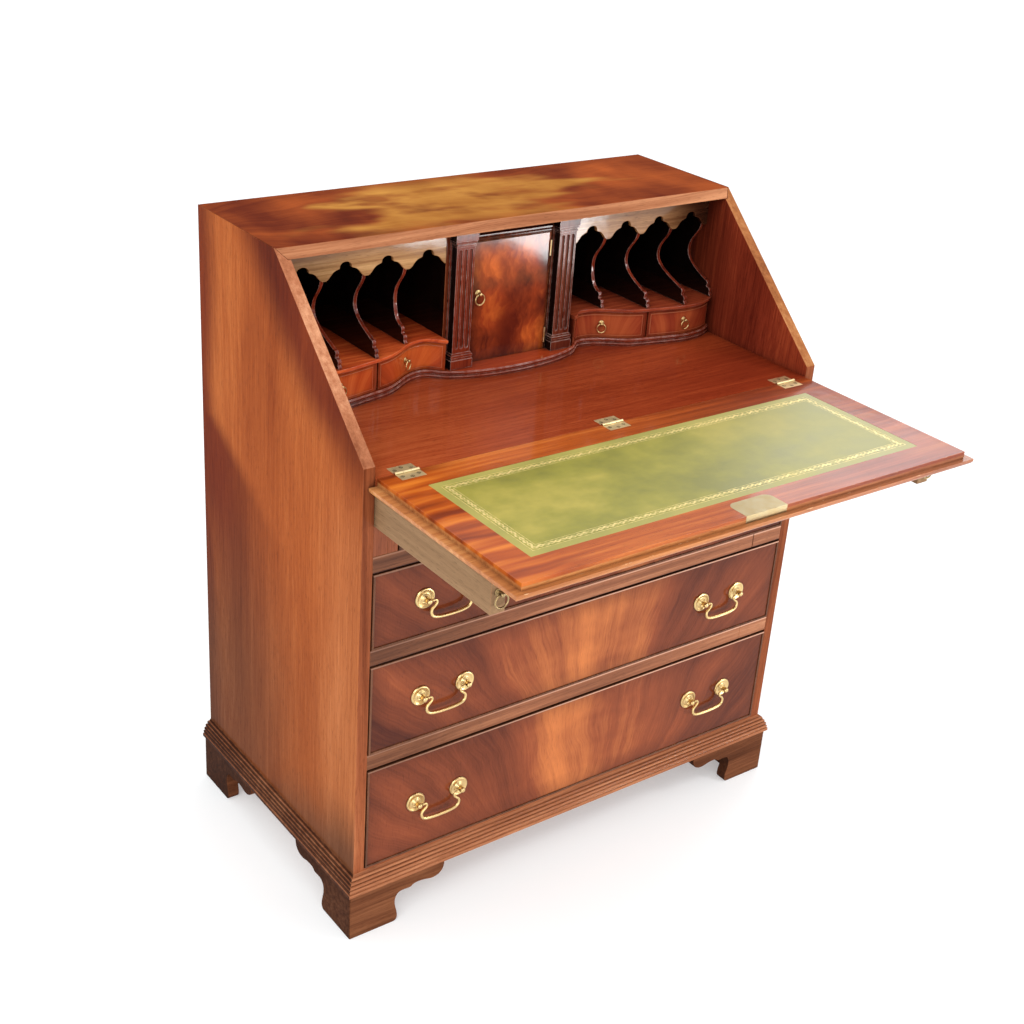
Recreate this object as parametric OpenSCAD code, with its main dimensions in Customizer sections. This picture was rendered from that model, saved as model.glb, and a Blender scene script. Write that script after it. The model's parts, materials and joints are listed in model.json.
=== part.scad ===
// Slant-front writing desk: a chest of four long drawers with a hinged writing fall,
// two sliding lopers that carry the fall, and a fitted gallery behind it.
// X runs along the width, +Y to the back, +Z up. The origin lies on the floor at the centre
// of the whole desk's footprint, with the fall open and the lopers pulled out.

/* [Carcass] */
// Width of the carcass over its sides
body_w = 830; // [800:5:860]
// Depth of the carcass, front to back
body_d = 472; // [460:2:500]
// Height of the top
body_h = 1000; // [990:1:1010]
// Thickness of the sides
side_t = 18; // [16:0.5:20]
// Thickness of the top board
top_t = 14; // [12:0.5:16]
// Height of the bracket feet
foot_h = 82; // [74:1:84]

/* [Writing fall] */
// Height of the writing surface
writing_h = 758; // [754:1:760]
// Slope of the closed fall
slant_angle = 43; // [42:0.5:44]
// Depth of the fall's inner panel
fall_d = 318; // [310:1:320]
// Thickness of the fall
fall_t = 20; // [18:0.5:20]
// Width of the crossbanded border round the leather
border_w = 47; // [40:1:60]

/* [Drawers] */
// Height of a drawer rail
rail_t = 26; // [22:0.5:28]
// Opening height of the top drawer between the lopers
row_1 = 97; // [90:0.5:99]
// Opening height of the second drawer
row_2 = 121; // [110:0.5:123]
// Opening height of the third drawer
row_3 = 149; // [140:0.5:151]
// Projection of the cock bead
bead_out = 1.6; // [1:0.1:2.5]

/* [Lopers] */
// Thickness of a loper
loper_t = 22; // [18:0.5:24]
// Height of a loper
loper_h = 50.5; // [40:0.5:56]
// Length of a loper
loper_len = 440; // [400:5:445]
// How far the lopers are pulled out
loper_out = 265; // [200:5:290]

/* [Handles] */
// Distance between the posts of a swan-neck handle
post_gap = 77; // [70:1:84]
// Distance of each handle from the middle of the drawer
handle_x = 272; // [250:1:285]
// Drop of the bail below its pivot
bail_drop = 30; // [27:0.5:34]
// Diameter of a rosette
rosette_d = 32; // [30:1:34]

/* [Gallery] */
// Half width of the cupboard door
door_half = 71.2; // [66:0.1:72]
// Height of the small drawers' opening
small_h = 44; // [40:0.5:48]
// Thickness of a pigeonhole divider
divider_t = 6; // [4:0.5:8]

/* [Hidden] */
$fn = 48;

mahogany = [0.48, 0.17, 0.07];
dark_mahogany = [0.30, 0.10, 0.05];
pale_wood = [0.72, 0.52, 0.32];
brass = [0.80, 0.64, 0.28];
leather_green = [0.60, 0.62, 0.26];

// A hairline between pieces that are glued or fitted to each other
glue = 0.1;

// Main planes
hinge_out = 2;
lip_over = 8;
fall_reach = hinge_out + fall_d + lip_over;
front_y = (fall_reach - body_d) / 2;
back_y = front_y + body_d;
hinge_y = front_y - hinge_out;
half_w = body_w / 2;
in_x = half_w - side_t;
back_t = 8;
inner_back = back_y - back_t;
top_z = body_h - top_t;

// The closed fall's lip rests this far in front of the hinge line
slant_off = 10.5;
rebate = 10.8;
function slant_y(z) = hinge_y + (cos(slant_angle) * (z - writing_h) - slant_off) / sin(slant_angle);
function slant_z(y) = writing_h + (sin(slant_angle) * (y - hinge_y) + slant_off) / cos(slant_angle);

// Heights of the drawer openings, from the bottom board up to the writing bed
bed_t = fall_t;
bed_z = writing_h - bed_t;
row_z1 = bed_z - row_1;
row_z2 = row_z1 - rail_t - row_2;
row_z3 = row_z2 - rail_t - row_3;
row_z4 = foot_h + 34;
row_4 = row_z3 - rail_t - row_z4;
ROW_Z = [row_z1, row_z2, row_z3, row_z4];
ROW_H = [row_1, row_2, row_3, row_4];
rail_d = 60;
rail_step_x = in_x - 62;
rail_step_gap = 1.2;
runner_in = 32;

// Lopers and what guides them
loper_x0 = in_x - 0.5 - loper_t;
loper_z = bed_z - 0.3 - loper_h;
guide_x1 = loper_x0 - 0.5;
guide_t = 16;
guide_x0 = guide_x1 - guide_t;

// Long drawers
drawer_gap = 1.5;
drawer_rest = 0.4;
// The bottom drawer has shrunk most, and leaves the widest gap above it
DRAWER_TOP_GAP = [1.7, 1.7, 1.9, 3];
front_t = 20;
bead_w = 3;
drawer_side_t = 12;
drawer_len = 425;
ROW_HALF = [guide_x0 - drawer_gap, in_x - drawer_gap, in_x - drawer_gap, in_x - drawer_gap];
post_x = post_gap / 2;
pivot_out = 11;

// Fall
panel_half = in_x - 2;
lip_half = half_w - 7;
fall_back = hinge_y - 0.5;
fall_front = hinge_y - fall_d;
leather_t = 1.2;

// Gallery: one flat front plane for the door, the stiles and the valances
gallery_y = front_y + 263;
plinth_t = 12;
plinth_top = writing_h + plinth_t;
shelf_t = 6;
shelf_z = plinth_top + small_h;
shelf_top = shelf_z + shelf_t;
wall_x0 = door_half + 0.4;
wall_t = 3.3;
box_x0 = wall_x0 + wall_t + 0.3;
box_w = 39.6;
stile_x0 = box_x0 + box_w + 0.7;
stile_t = 5.5;
hole_x0 = stile_x0 + stile_t;
end_t = 5.5;
hole_x1 = in_x - end_t - 0.5;
hole_w = (hole_x1 - hole_x0 - 3 * divider_t) / 4;
hole_pitch = hole_w + divider_t;
mid_x = hole_x0 + 2 * hole_pitch - divider_t / 2;
door_h = 189;
door_t = 8;
valance_t = 6;
arch_low = top_z - 52;
arch_rise = 25;
pilaster_out = 16;

// ---------------------------------------------------------------- helpers

function bez(p, t) = pow(1 - t, 3) * p[0] + 3 * pow(1 - t, 2) * t * p[1]
                     + 3 * (1 - t) * pow(t, 2) * p[2] + pow(t, 3) * p[3];
// Points of a chain of Bezier pieces, without the last point of each
function chain(pieces, n) = [for (p = pieces) for (i = [0 : n - 1]) bez(p, i / n)];
function mirrored(points) = [for (i = [len(points) - 1 : -1 : 0]) [-points[i][0], points[i][1]]];

// A board between two opposite corners
module board(low, high) {
  translate(low) cube(high - low);
}

// A flat outline drawn in Y and Z, extruded along X
module along_x(x0, x1) {
  translate([x0, 0, 0]) rotate([90, 0, 90]) linear_extrude(x1 - x0) children();
}

// A flat outline drawn in X and Z, extruded from y0 back to y1
module along_y(y0, y1) {
  translate([0, y1, 0]) rotate([90, 0, 0]) linear_extrude(y1 - y0) children();
}

module both_sides() {
  children();
  mirror([1, 0, 0]) children();
}

// A rod along X, centred at a point
module rod_x(at, r, len) {
  translate([at[0] - len / 2, at[1], at[2]]) rotate([0, 90, 0]) cylinder(r = r, h = len);
}

// ---------------------------------------------------------------- carcass

// Wedge that the top board takes out of the carcass: mitred over the sides
module top_wedge(grow) {
  along_y(front_y - 10, back_y + 10)
    polygon([[-half_w + top_t - grow, top_z - grow], [half_w - top_t + grow, top_z - grow],
             [half_w + grow, body_h + 1], [-half_w - grow, body_h + 1]]);
}

module slanted_outline(z0, z1) {
  polygon([[front_y, z0], [back_y, z0], [back_y, z1], [slant_y(z1), z1],
           [front_y, slant_z(front_y)]]);
}

module side_right() {
  color(mahogany) difference() {
    along_x(in_x, half_w) slanted_outline(foot_h, body_h);
    top_wedge(glue);
  }
}

module side_left() {
  mirror([1, 0, 0]) side_right();
}

module top_board() {
  color(mahogany) intersection() {
    along_x(-half_w, half_w)
      polygon([[slant_y(top_z), top_z], [back_y, top_z],
               [back_y, body_h], [slant_y(body_h), body_h]]);
    top_wedge(0);
  }
}

// Four upright back boards, set between the sides
module back_boards() {
  count = 4;
  w = 2 * in_x / count;
  color(pale_wood)
    for (i = [0 : count - 1])
      board([-in_x + i * w + 0.4, inner_back, foot_h + 8],
            [-in_x + (i + 1) * w - 0.4, back_y, top_z - glue]);
}

module bottom_board() {
  color(mahogany) board([-in_x, front_y, row_z4 - 20], [in_x, inner_back - glue, row_z4]);
}

// Places of the three butt hinges and of their six screws
HINGE_X = [-in_x + 47, 0, in_x - 47];
leaf_half = 19;
leaf_d = 20;
leaf_t = 1.6;
knuckle_r = 2.6;
// Screws across a leaf, as offset along it and distance from the hinge line
LEAF_SCREWS = [[-12.5, 10], [0, 14.5], [12.5, 10]];
screw_r = 1.4;
screw_head_r = 2.4;
module hinge_screw_places(side) {
  for (x = HINGE_X)
    for (s = LEAF_SCREWS) translate([x + s[0], hinge_y + side * s[1], writing_h]) children();
}

// Everything that a row of hinge leaves takes out of the wood
module leaf_pockets(side) {
  for (x = HINGE_X) {
    rod_x([x, hinge_y, writing_h], knuckle_r + 0.5, 2 * leaf_half + 0.4);
    y0 = side > 0 ? hinge_y - 1 : hinge_y - leaf_d - 0.1;
    board([x - leaf_half - 0.1, y0, writing_h - leaf_t - 0.05],
          [x + leaf_half + 0.1, y0 + leaf_d + 1.1, writing_h + 1]);
  }
  hinge_screw_places(side) translate([0, 0, -12]) cylinder(r = screw_r + 0.05, h = 13, $fn = 16);
}

module writing_bed() {
  color(mahogany) difference() {
    board([-in_x, hinge_y, bed_z], [in_x, inner_back - glue, writing_h]);
    leaf_pockets(1);
  }
}

// One butt leaf with its knuckles. Side is 1 behind the hinge line and -1 in front of it.
module butt_leaf(side) {
  third = leaf_half * 2 / 3;
  difference() {
    union() {
      y0 = side > 0 ? 0.3 : -leaf_d;
      board([-leaf_half, y0, -leaf_t], [leaf_half, y0 + leaf_d - 0.3, 0]);
      rod_x([0, 0, 0], knuckle_r, 2 * leaf_half);
    }
    // Gaps for the other leaf's knuckles
    if (side > 0) rod_x([0, 0, 0], knuckle_r + 0.4, third + 0.3);
    if (side < 0) both_sides() rod_x([third, 0, 0], knuckle_r + 0.4, third + 0.3);
    rod_x([0, 0, 0], 1.05, 2 * leaf_half + 1);
    for (s = LEAF_SCREWS)
      translate([s[0], side * s[1], -leaf_t - 1]) cylinder(r = screw_head_r + 0.1, h = 5, $fn = 24);
  }
}

// A slotted screw, its head flush with a leaf
module screw() {
  difference() {
    union() {
      translate([0, 0, -leaf_t]) cylinder(r = screw_head_r, h = leaf_t + 0.2, $fn = 24);
      translate([0, 0, -11]) cylinder(r = screw_r, h = 11, $fn = 16);
    }
    board([-3, -0.3, -0.3], [3, 0.3, 1]);
  }
}

module hinge_row(side) {
  for (x = HINGE_X) translate([x, hinge_y, writing_h]) butt_leaf(side);
  hinge_screw_places(side) screw();
}

// Fixed leaves of the fall's hinges and of the cupboard door's hinges, with all the pins
module fixed_hinge_leaves() {
  color(brass) {
    hinge_row(1);
    for (x = HINGE_X) rod_x([x, hinge_y, writing_h], 1, 2 * leaf_half);
    for (z = DOOR_HINGE_Z) translate([door_axis_x, door_axis_y, z]) {
      both_ends() door_knuckle();
      cylinder(r = door_pin_r, h = 3 * door_knuckle_h, center = true, $fn = 16);
      difference() {
        board([0.35, 0.5, -door_leaf_half], [0.75, door_leaf_d, door_leaf_half]);
        door_knuckle_relief();
        door_pin_bore();
      }
    }
  }
}

// The two end knuckles of a door hinge, a little apart from the middle one
module both_ends() {
  for (s = [-1, 1]) translate([0, 0, s * (door_knuckle_h + 0.2)]) children();
}

module drawer_dividers() {
  color(mahogany)
    for (i = [0 : 2]) {
      z1 = ROW_Z[i];
      z0 = z1 - rail_t;
      // The second rail is made of two lengths, butted near its right end
      step = i == 1 ? rail_step_gap : 0;
      board([-in_x, front_y, z0], [rail_step_x - step, front_y + rail_d, z1]);
      board([rail_step_x + glue, front_y, z0], [in_x, front_y + rail_d, z1]);
      // Runners under the drawer's sides, with a thin dust board between them
      run_x = ROW_HALF[i] - runner_in;
      both_sides() board([run_x, front_y + rail_d + glue, z1 - 20], [in_x, inner_back - glue, z1]);
      board([-run_x + glue, front_y + rail_d + glue, z1 - 12], [run_x - glue, inner_back - glue, z1 - 6]);
    }
}

// Upright guides beside the top drawer, and the bearers that the lopers slide on
module loper_dividers() {
  color(mahogany) both_sides() {
    board([guide_x0, front_y, row_z1], [guide_x1, inner_back - glue, bed_z]);
    board([guide_x1 + glue, front_y, row_z1], [in_x, inner_back - glue, loper_z - 0.3]);
  }
}

// Reeded moulding outline: u is the projection, v the height
mould_out = 15;
mould_h = 30;
module mould_outline() {
  polygon([[0, 0], [mould_out, 0], [mould_out, 5], [mould_out - 2, 5.6], [10, 12], [7, 19],
           [3, 26], [0, mould_h]]);
  for (c = [[11.2, 8.6], [9.6, 14], [7.2, 19.2], [4, 24.2]]) translate(c) circle(r = 2.7);
}

module mould_length(x0, x1) {
  translate([0, 0, foot_h]) rotate([90, 0, 90]) translate([0, 0, x0])
    linear_extrude(x1 - x0) mirror([1, 0]) mould_outline();
}

module base_moulding() {
  m = mould_out + 1;
  color(dark_mahogany) {
    intersection() {
      translate([0, front_y, 0]) mould_length(-half_w - m, half_w + m);
      translate([0, 0, foot_h - 1]) linear_extrude(mould_h + 2)
        polygon([[-half_w - m, front_y - m], [half_w + m, front_y - m], [half_w, front_y],
                 [half_w, front_y + 3], [-half_w, front_y + 3], [-half_w, front_y]]);
    }
    both_sides() intersection() {
      translate([half_w, 0, 0]) rotate([0, 0, 90]) mould_length(front_y - m, back_y);
      translate([glue, 0, foot_h - 1]) linear_extrude(mould_h + 2)
        polygon([[half_w + m, front_y - m], [half_w + m, back_y], [half_w - 3, back_y],
                 [half_w - 3, front_y + 3], [half_w, front_y]]);
    }
  }
}

// Bracket foot outline: u runs from the corner along the face, v is the height
foot_out = 11;
foot_t = 20;
BRACKET = [
  [[78, 0], [81, 0], [84.5, 3], [84.5, 9]],
  [[84.5, 9], [84.5, 20], [79.5, 28], [79.5, 38]],
  [[79.5, 38], [79.5, 47], [83, 54], [91, 54.5]],
  [[91, 54.5], [96, 54.8], [101, 54], [105, 54]],
  [[108, 54.5], [112, 59.5], [120, 59.5], [128, 58.5]],
  [[128, 58.5], [136, 57.5], [141, 54.5], [149, 55]],
  [[149, 55], [159, 55.6], [167, 62], [168, 74]]];
module bracket_outline() {
  polygon(concat([[0, 0]], chain(BRACKET, 6), [[168, 74], [168, foot_h - glue], [0, foot_h - glue]]));
}

// Mitred pair of brackets at the right front corner
module front_foot() {
  corner = [half_w + foot_out, front_y - foot_out];
  intersection() {
    translate([corner[0], corner[1] + foot_t, 0]) rotate([90, 0, 0])
      linear_extrude(foot_t) mirror([1, 0]) bracket_outline();
    translate([corner[0] - glue, corner[1], -1]) linear_extrude(foot_h + 2)
      polygon([[0, 0], [-200, 0], [-200, foot_t], [-foot_t, foot_t]]);
  }
  side_bracket(corner);
}

module side_bracket(corner) {
  intersection() {
    translate([corner[0] - foot_t, corner[1], 0]) rotate([90, 0, 90])
      linear_extrude(foot_t) bracket_outline();
    translate([corner[0], corner[1], -1]) linear_extrude(foot_h + 2)
      polygon([[0, 0], [0, 200], [-foot_t, 200], [-foot_t, foot_t]]);
  }
}

// Side bracket and a plain cut bracket along the back, with no mitre
module rear_foot() {
  corner_x = half_w + foot_out;
  translate([corner_x, back_y, 0]) rotate([90, 0, -90])
    linear_extrude(foot_t) bracket_outline();
  along_y(back_y - foot_t, back_y)
    polygon([[corner_x - foot_t - glue, 0], [corner_x - foot_t - glue, foot_h - glue],
             [corner_x - 150, foot_h - glue], [corner_x - 62, 0]]);
}

module bracket_feet() {
  block = 36;
  block_x = half_w + foot_out - foot_t - glue;
  color(mahogany) both_sides() {
    front_foot();
    rear_foot();
    for (y = [front_y - foot_out + foot_t + glue, back_y - foot_t - glue - block])
      board([block_x - block, y, 3], [block_x, y + block, foot_h - glue]);
  }
}

// ---------------------------------------------------------------- gallery

// Right half of the serpentine front, as Y against X, measured from the flat gallery front
SERPENTINE = [
  [[0, -41], [45, -41], [90, -33], [118, -19]],
  [[118, -19], [134, -11], [138, 4], [154, 4]],
  [[154, 4], [190, 4], [205, -29], [250, -37]],
  [[250, -37], [284, -43], [310, -52], [335, -52]],
  [[335, -52], [362, -52], [383, -43], [397, -33]]];
serp_points = concat(chain(SERPENTINE, 9), [[397, -33], [420, -33]]);
function serp(x) = gallery_y + lookup(abs(x), serp_points);
function serp_slope(x) = atan2(serp(x + 3) - serp(x - 3), 6);

// Plan of the gallery floor, set back by a distance, and cut between two X values
module gallery_plan(set_back, x0, x1) {
  front = concat(mirrored(serp_points), serp_points);
  intersection() {
    translate([0, gallery_y + set_back])
      polygon(concat(front, [[420, inner_back - glue - gallery_y - set_back],
                             [-420, inner_back - glue - gallery_y - set_back]]));
    translate([x0, gallery_y - 100]) square([x1 - x0, inner_back - gallery_y + 200]);
  }
}

module layer(z0, z1) {
  translate([0, 0, z0]) linear_extrude(z1 - z0) children();
}

// Base of the gallery with a small moulding worked on its edge
module gallery_plinth() {
  w = in_x - glue;
  color(dark_mahogany) {
    layer(writing_h, writing_h + 4) gallery_plan(0, -w, w);
    layer(writing_h + 4, writing_h + 6.5) gallery_plan(2.2, -w, w);
    layer(writing_h + 6.5, writing_h + 10.5) gallery_plan(0.8, -w, w);
    layer(writing_h + 10.5, plinth_top) gallery_plan(2.4, -w, w);
  }
}

module gallery_shelves() {
  x0 = hole_x0 + glue;
  x1 = in_x - glue;
  color(dark_mahogany) both_sides() {
    layer(shelf_z, shelf_z + 2) gallery_plan(2.2, x0, x1);
    layer(shelf_z + 2, shelf_top) gallery_plan(0.6, x0, x1);
  }
}

// Partitions beside the small drawers, under the shelves
module gallery_partitions() {
  color(dark_mahogany) both_sides()
    layer(plinth_top, shelf_z - glue) {
      gallery_plan(7, mid_x - 2.5, mid_x + 2.5);
      gallery_plan(7, hole_x1, in_x - 0.5);
    }
}

// Front edge of a divider: two small beads at the foot, then a hollow under the valance
module divider_outline(foot_y) {
  beads_y = foot_y + 18;
  deep_y = gallery_y + 31;
  head_y = gallery_y + valance_t + 1;
  edge = chain([
    [[beads_y, shelf_top + 26], [beads_y + 12, shelf_top + 32], [deep_y, shelf_top + 44],
     [deep_y, shelf_top + 64]],
    [[deep_y, shelf_top + 64], [deep_y, shelf_top + 88], [head_y, shelf_top + 96],
     [head_y, shelf_top + 116]]], 8);
  polygon(concat([[inner_back - glue, shelf_top], [foot_y + 1, shelf_top], [foot_y + 1, shelf_top + 3]],
                 [[foot_y + 8, shelf_top + 10], [foot_y + 12, shelf_top + 20]], edge,
                 [[head_y, shelf_top + 116], [head_y, top_z - glue], [inner_back - glue, top_z - glue]]));
  translate([foot_y + 8, shelf_top + 9]) circle(r = 5.5);
  translate([foot_y + 15, shelf_top + 20]) circle(r = 5.5);
}

module pigeonhole_dividers() {
  color(dark_mahogany) both_sides() {
    for (i = [1 : 3]) {
      x = hole_x0 + i * hole_pitch - divider_t / 2;
      along_x(x - divider_t / 2, x + divider_t / 2) divider_outline(serp(x) + 3);
    }
    along_x(hole_x1, in_x - 0.5) divider_outline(serp(hole_x1) + 3);
  }
}

// Half an arch: a round crown over a bell-shaped shoulder
ARCH = [
  [[0, 25], [5, 25], [9.5, 22], [9.5, 17]],
  [[9.5, 17], [10, 14], [14, 15.5], [19, 12]],
  [[19, 12], [24, 8.5], [26, 2], [31.4, 0]]];
module arch() {
  half = chain(ARCH, 7);
  scale_x = hole_w / 63;
  outline = [for (p = concat(half, [[31.4, 0]])) [p[0] * scale_x, p[1] * arch_rise / 25]];
  polygon(concat(mirrored(outline), outline, [[31.4 * scale_x, -5], [-31.4 * scale_x, -5]]));
}

module valances() {
  x0 = hole_x0 + glue;
  color(pale_wood) both_sides() along_y(gallery_y, gallery_y + valance_t) difference() {
    translate([x0, arch_low]) square([in_x - 0.5 - x0, top_z - glue - arch_low]);
    for (i = [0 : 3]) translate([hole_x0 + hole_w / 2 + i * hole_pitch, arch_low]) arch();
  }
}

// Walls of the cupboard and of the document boxes, and the cornice over the door
cornice_z = plinth_top + door_h + 0.6;
module cupboard_frame() {
  color(dark_mahogany) {
    difference() {
      both_sides()
        board([wall_x0, gallery_y, plinth_top], [wall_x0 + wall_t, inner_back - glue, top_z - glue]);
      for (z = DOOR_HINGE_Z)
        board([wall_x0 - 1, gallery_y - 1, z - door_notch_half],
              [door_axis_x + 0.85, gallery_y + 8, z + door_notch_half]);
    }
    both_sides()
      board([stile_x0, gallery_y, plinth_top], [stile_x0 + stile_t, inner_back - glue, top_z - glue]);
    along_x(-wall_x0 + glue, wall_x0 - glue)
      translate([gallery_y, cornice_z])
        polygon([[24, 0], [-1, 0], [-1, 2], [-2.5, 3.5], [-2.5, 6], [-5, 9], [-5, 12], [0, 14],
                 [0, top_z - glue - cornice_z], [24, top_z - glue - cornice_z]]);
  }
}

// ---------------------------------------------------------------- fall

fall_lock_w = 74;
fall_lock_d = 38;

// Plan of the lock's plate, with its back corners rounded
module lock_plan(grow) {
  r = 12;
  y0 = fall_front;
  translate([-fall_lock_w / 2 - grow, y0]) square([fall_lock_w + 2 * grow, fall_lock_d - r]);
  translate([-fall_lock_w / 2 + r, y0]) square([fall_lock_w - 2 * r, fall_lock_d + grow]);
  for (s = [-1, 1])
    translate([s * (fall_lock_w / 2 - r), y0 + fall_lock_d - r]) circle(r = r + grow);
}

module fall_panel() {
  lip_z = writing_h - fall_t;
  lip_top = writing_h - rebate;
  lip_y = fall_front - lip_over;
  round = 7;
  lock_x = fall_lock_w / 2;
  color(mahogany) difference() {
    union() {
      board([-panel_half, fall_front, writing_h - rebate - 1], [panel_half, fall_back, writing_h]);
      intersection() {
        along_x(-lip_half, lip_half) intersection() {
          translate([lip_y, lip_z]) square([fall_back - lip_y, lip_top - lip_z]);
          union() {
            translate([lip_y + round, lip_z]) square([fall_back - lip_y - round, fall_t]);
            translate([lip_y, lip_z + round]) square([2 * round, fall_t]);
            translate([lip_y + round, lip_z + round]) circle(r = round);
          }
        }
        along_y(fall_front - 20, fall_back + 1) {
          polygon([[-lip_half, lip_z + round], [-lip_half + round, lip_z], [lip_half - round, lip_z],
                   [lip_half, lip_z + round], [lip_half, writing_h], [-lip_half, writing_h]]);
          both_sides() translate([lip_half - round, lip_z + round]) circle(r = round);
        }
      }
    }
    leaf_pockets(-1);
    translate([0, 0, writing_h - leather_t - 0.2]) linear_extrude(5) leather_plan(0.15);
    layer(writing_h - 1.6, writing_h + 1) lock_plan(0.1);
    board([-28, fall_front + 3, writing_h - 9], [28, fall_front + 34, writing_h]);
    board([-lock_x - 0.1, fall_front - 1, lip_top], [lock_x + 0.1, fall_front + 2.1, writing_h]);
    translate([0, fall_front + 18, lip_z - 1]) cylinder(r = 3, h = 14, $fn = 24);
    board([-1.4, fall_front + 10, lip_z - 1], [1.4, fall_front + 18, writing_h - 2]);
  }
}

module leather_plan(grow) {
  x = panel_half - border_w - 1 + grow;
  translate([-x, fall_front + border_w - grow])
    square([2 * x, fall_d - 2 * border_w + 2 * grow]);
}

module writing_leather() {
  color(leather_green) layer(writing_h - leather_t - 0.1, writing_h - 0.1) leather_plan(0);
}

module fall_lock() {
  color(brass) {
    layer(writing_h - 1.5, writing_h + 0.1) lock_plan(0);
    board([-27, fall_front + 4, writing_h - 8.5], [27, fall_front + 33, writing_h - 1.4]);
    board([-fall_lock_w / 2, fall_front - 0.1, writing_h - rebate + 0.1],
          [fall_lock_w / 2, fall_front + 2, writing_h - 1]);
  }
}

module fall_hinge_leaves() {
  color(brass) hinge_row(-1);
}

// ---------------------------------------------------------------- lopers

module loper_right() {
  y0 = front_y - loper_out;
  color(mahogany) difference() {
    along_x(loper_x0, loper_x0 + loper_t)
      polygon([[y0, loper_z], [y0 + loper_len, loper_z], [y0 + loper_len, loper_z + loper_h],
               [y0 + 4, loper_z + loper_h], [y0, loper_z + loper_h - 4]]);
    at_loper(1) boss_hole();
  }
}

module loper_left() {
  mirror([1, 0, 0]) loper_right();
}

// ---------------------------------------------------------------- pulls

// A small turned boss: screw, base disc, stem and a barrel that a ring passes through. It
// points towards -Y and its back lies at y = 0. The gallery's pulls are smaller castings.
door_pull = 0.88;
small_pull = 0.76;
ring_r = 9.5;
ring_wire = 1.3;
boss_out = 7.4;
boss_screw = 6;
module boss() {
  rotate([90, 0, 0]) difference() {
    rotate_extrude()
      polygon([[0, -boss_screw], [1.1, -boss_screw], [1.1, 0.2], [6, 0.2], [6, 0.9], [5.2, 1.6],
               [3.6, 1.9], [2.6, 2.6], [2.4, 3.6], [3.1, 4.4], [3.3, 5.2], [3.3, 9.6], [2.9, 10.6],
               [1.8, 11.3], [0, 11.5]]);
    rod_x([0, 0, boss_out], 2.15, 10);
  }
}

module boss_hole() {
  rotate([-90, 0, 0]) translate([0, 0, -1]) cylinder(r = 1.2, h = boss_screw + 1.5, $fn = 16);
}

module ring() {
  translate([0, -boss_out, -ring_r]) rotate([90, 0, 0])
    rotate_extrude($fn = 64) translate([ring_r, 0]) circle(r = ring_wire, $fn = 24);
}

loper_ring_x = loper_x0 + loper_t / 2;
loper_ring_z = loper_z + 30;
module at_loper(side) {
  translate([side * loper_ring_x, front_y - loper_out, loper_ring_z]) children();
}

module loper_boss_left() {
  color(brass) at_loper(-1) boss();
}

module loper_boss_right() {
  color(brass) at_loper(1) boss();
}

module loper_ring_left() {
  color(brass) at_loper(-1) ring();
}

module loper_ring_right() {
  color(brass) at_loper(1) ring();
}

// ---------------------------------------------------------------- long drawers

module post_places(i) {
  for (s = [-1, 1])
    for (p = [-1, 1])
      translate([s * handle_x + p * post_x, front_y, ROW_Z[i] + ROW_H[i] / 2])
        mirror([p < 0 ? 1 : 0, 0, 0]) children();
}

// A drawer: solid front with a cock bead round it, and a box behind
module drawer(i) {
  x = ROW_HALF[i];
  z0 = ROW_Z[i] + drawer_rest;
  z1 = ROW_Z[i] + ROW_H[i] - DRAWER_TOP_GAP[i];
  y1 = front_y + front_t;
  y2 = front_y + drawer_len;
  side_x = x - 2;
  side_top = z1 - 12;
  in = drawer_side_t + glue;
  color(mahogany) difference() {
    union() {
      board([-x + bead_w, front_y, z0 + bead_w], [x - bead_w, y1, z1 - bead_w]);
      difference() {
        board([-x, front_y - bead_out, z0], [x, y1, z1]);
        board([-x + bead_w, front_y - 10, z0 + bead_w], [x - bead_w, y1 + 10, z1 - bead_w]);
      }
    }
    post_places(i) rotate([-90, 0, 0]) translate([0, 0, -1]) cylinder(r = 2.2, h = front_t + 2, $fn = 24);
  }
  color(pale_wood) {
    both_sides() board([side_x - drawer_side_t, y1 + glue, z0], [side_x, y2, side_top]);
    board([-side_x + in, y2 - 10, z0 + 8], [side_x - in, y2, side_top - 6]);
    board([-side_x + in, y1 + glue, z0 + 1], [side_x - in, y2, z0 + 7]);
  }
}

// A dished rosette with a post, its bolt and nut behind the drawer front. The bore that
// takes the bail's pin opens towards -X.
module handle_post() {
  r = rosette_d / 2;
  rotate([90, 0, 0]) {
    difference() {
      rotate_extrude()
        polygon([[0, -front_t - 7], [1.9, -front_t - 7], [1.9, 0.2], [r, 0.2], [r, 1.2], [r - 0.8, 2.3],
                 [r - 2.2, 2.7], [r - 3.6, 2.2], [r - 5, 1.5], [r - 7.2, 1.4], [7.6, 1.9], [6.8, 2.5],
                 [6, 2.2], [5.2, 2.6], [3.8, 3.6], [2.9, 5], [2.9, 6.3], [3.7, 7.4], [4.3, 8.8],
                 [4.3, 12.6], [3.8, 14.2], [2.6, 15.2], [0, 15.6]]);
      rotate([0, -90, 0]) translate([pivot_out, 0, -1]) cylinder(r = 1.75, h = 12, $fn = 24);
    }
    translate([0, 0, -front_t - 4]) difference() {
      cylinder(r = 5, h = 3.8, $fn = 6);
      translate([0, 0, -1]) cylinder(r = 2, h = 6, $fn = 24);
    }
  }
}

module handle_posts(i) {
  color(brass) post_places(i) handle_post();
}

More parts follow.
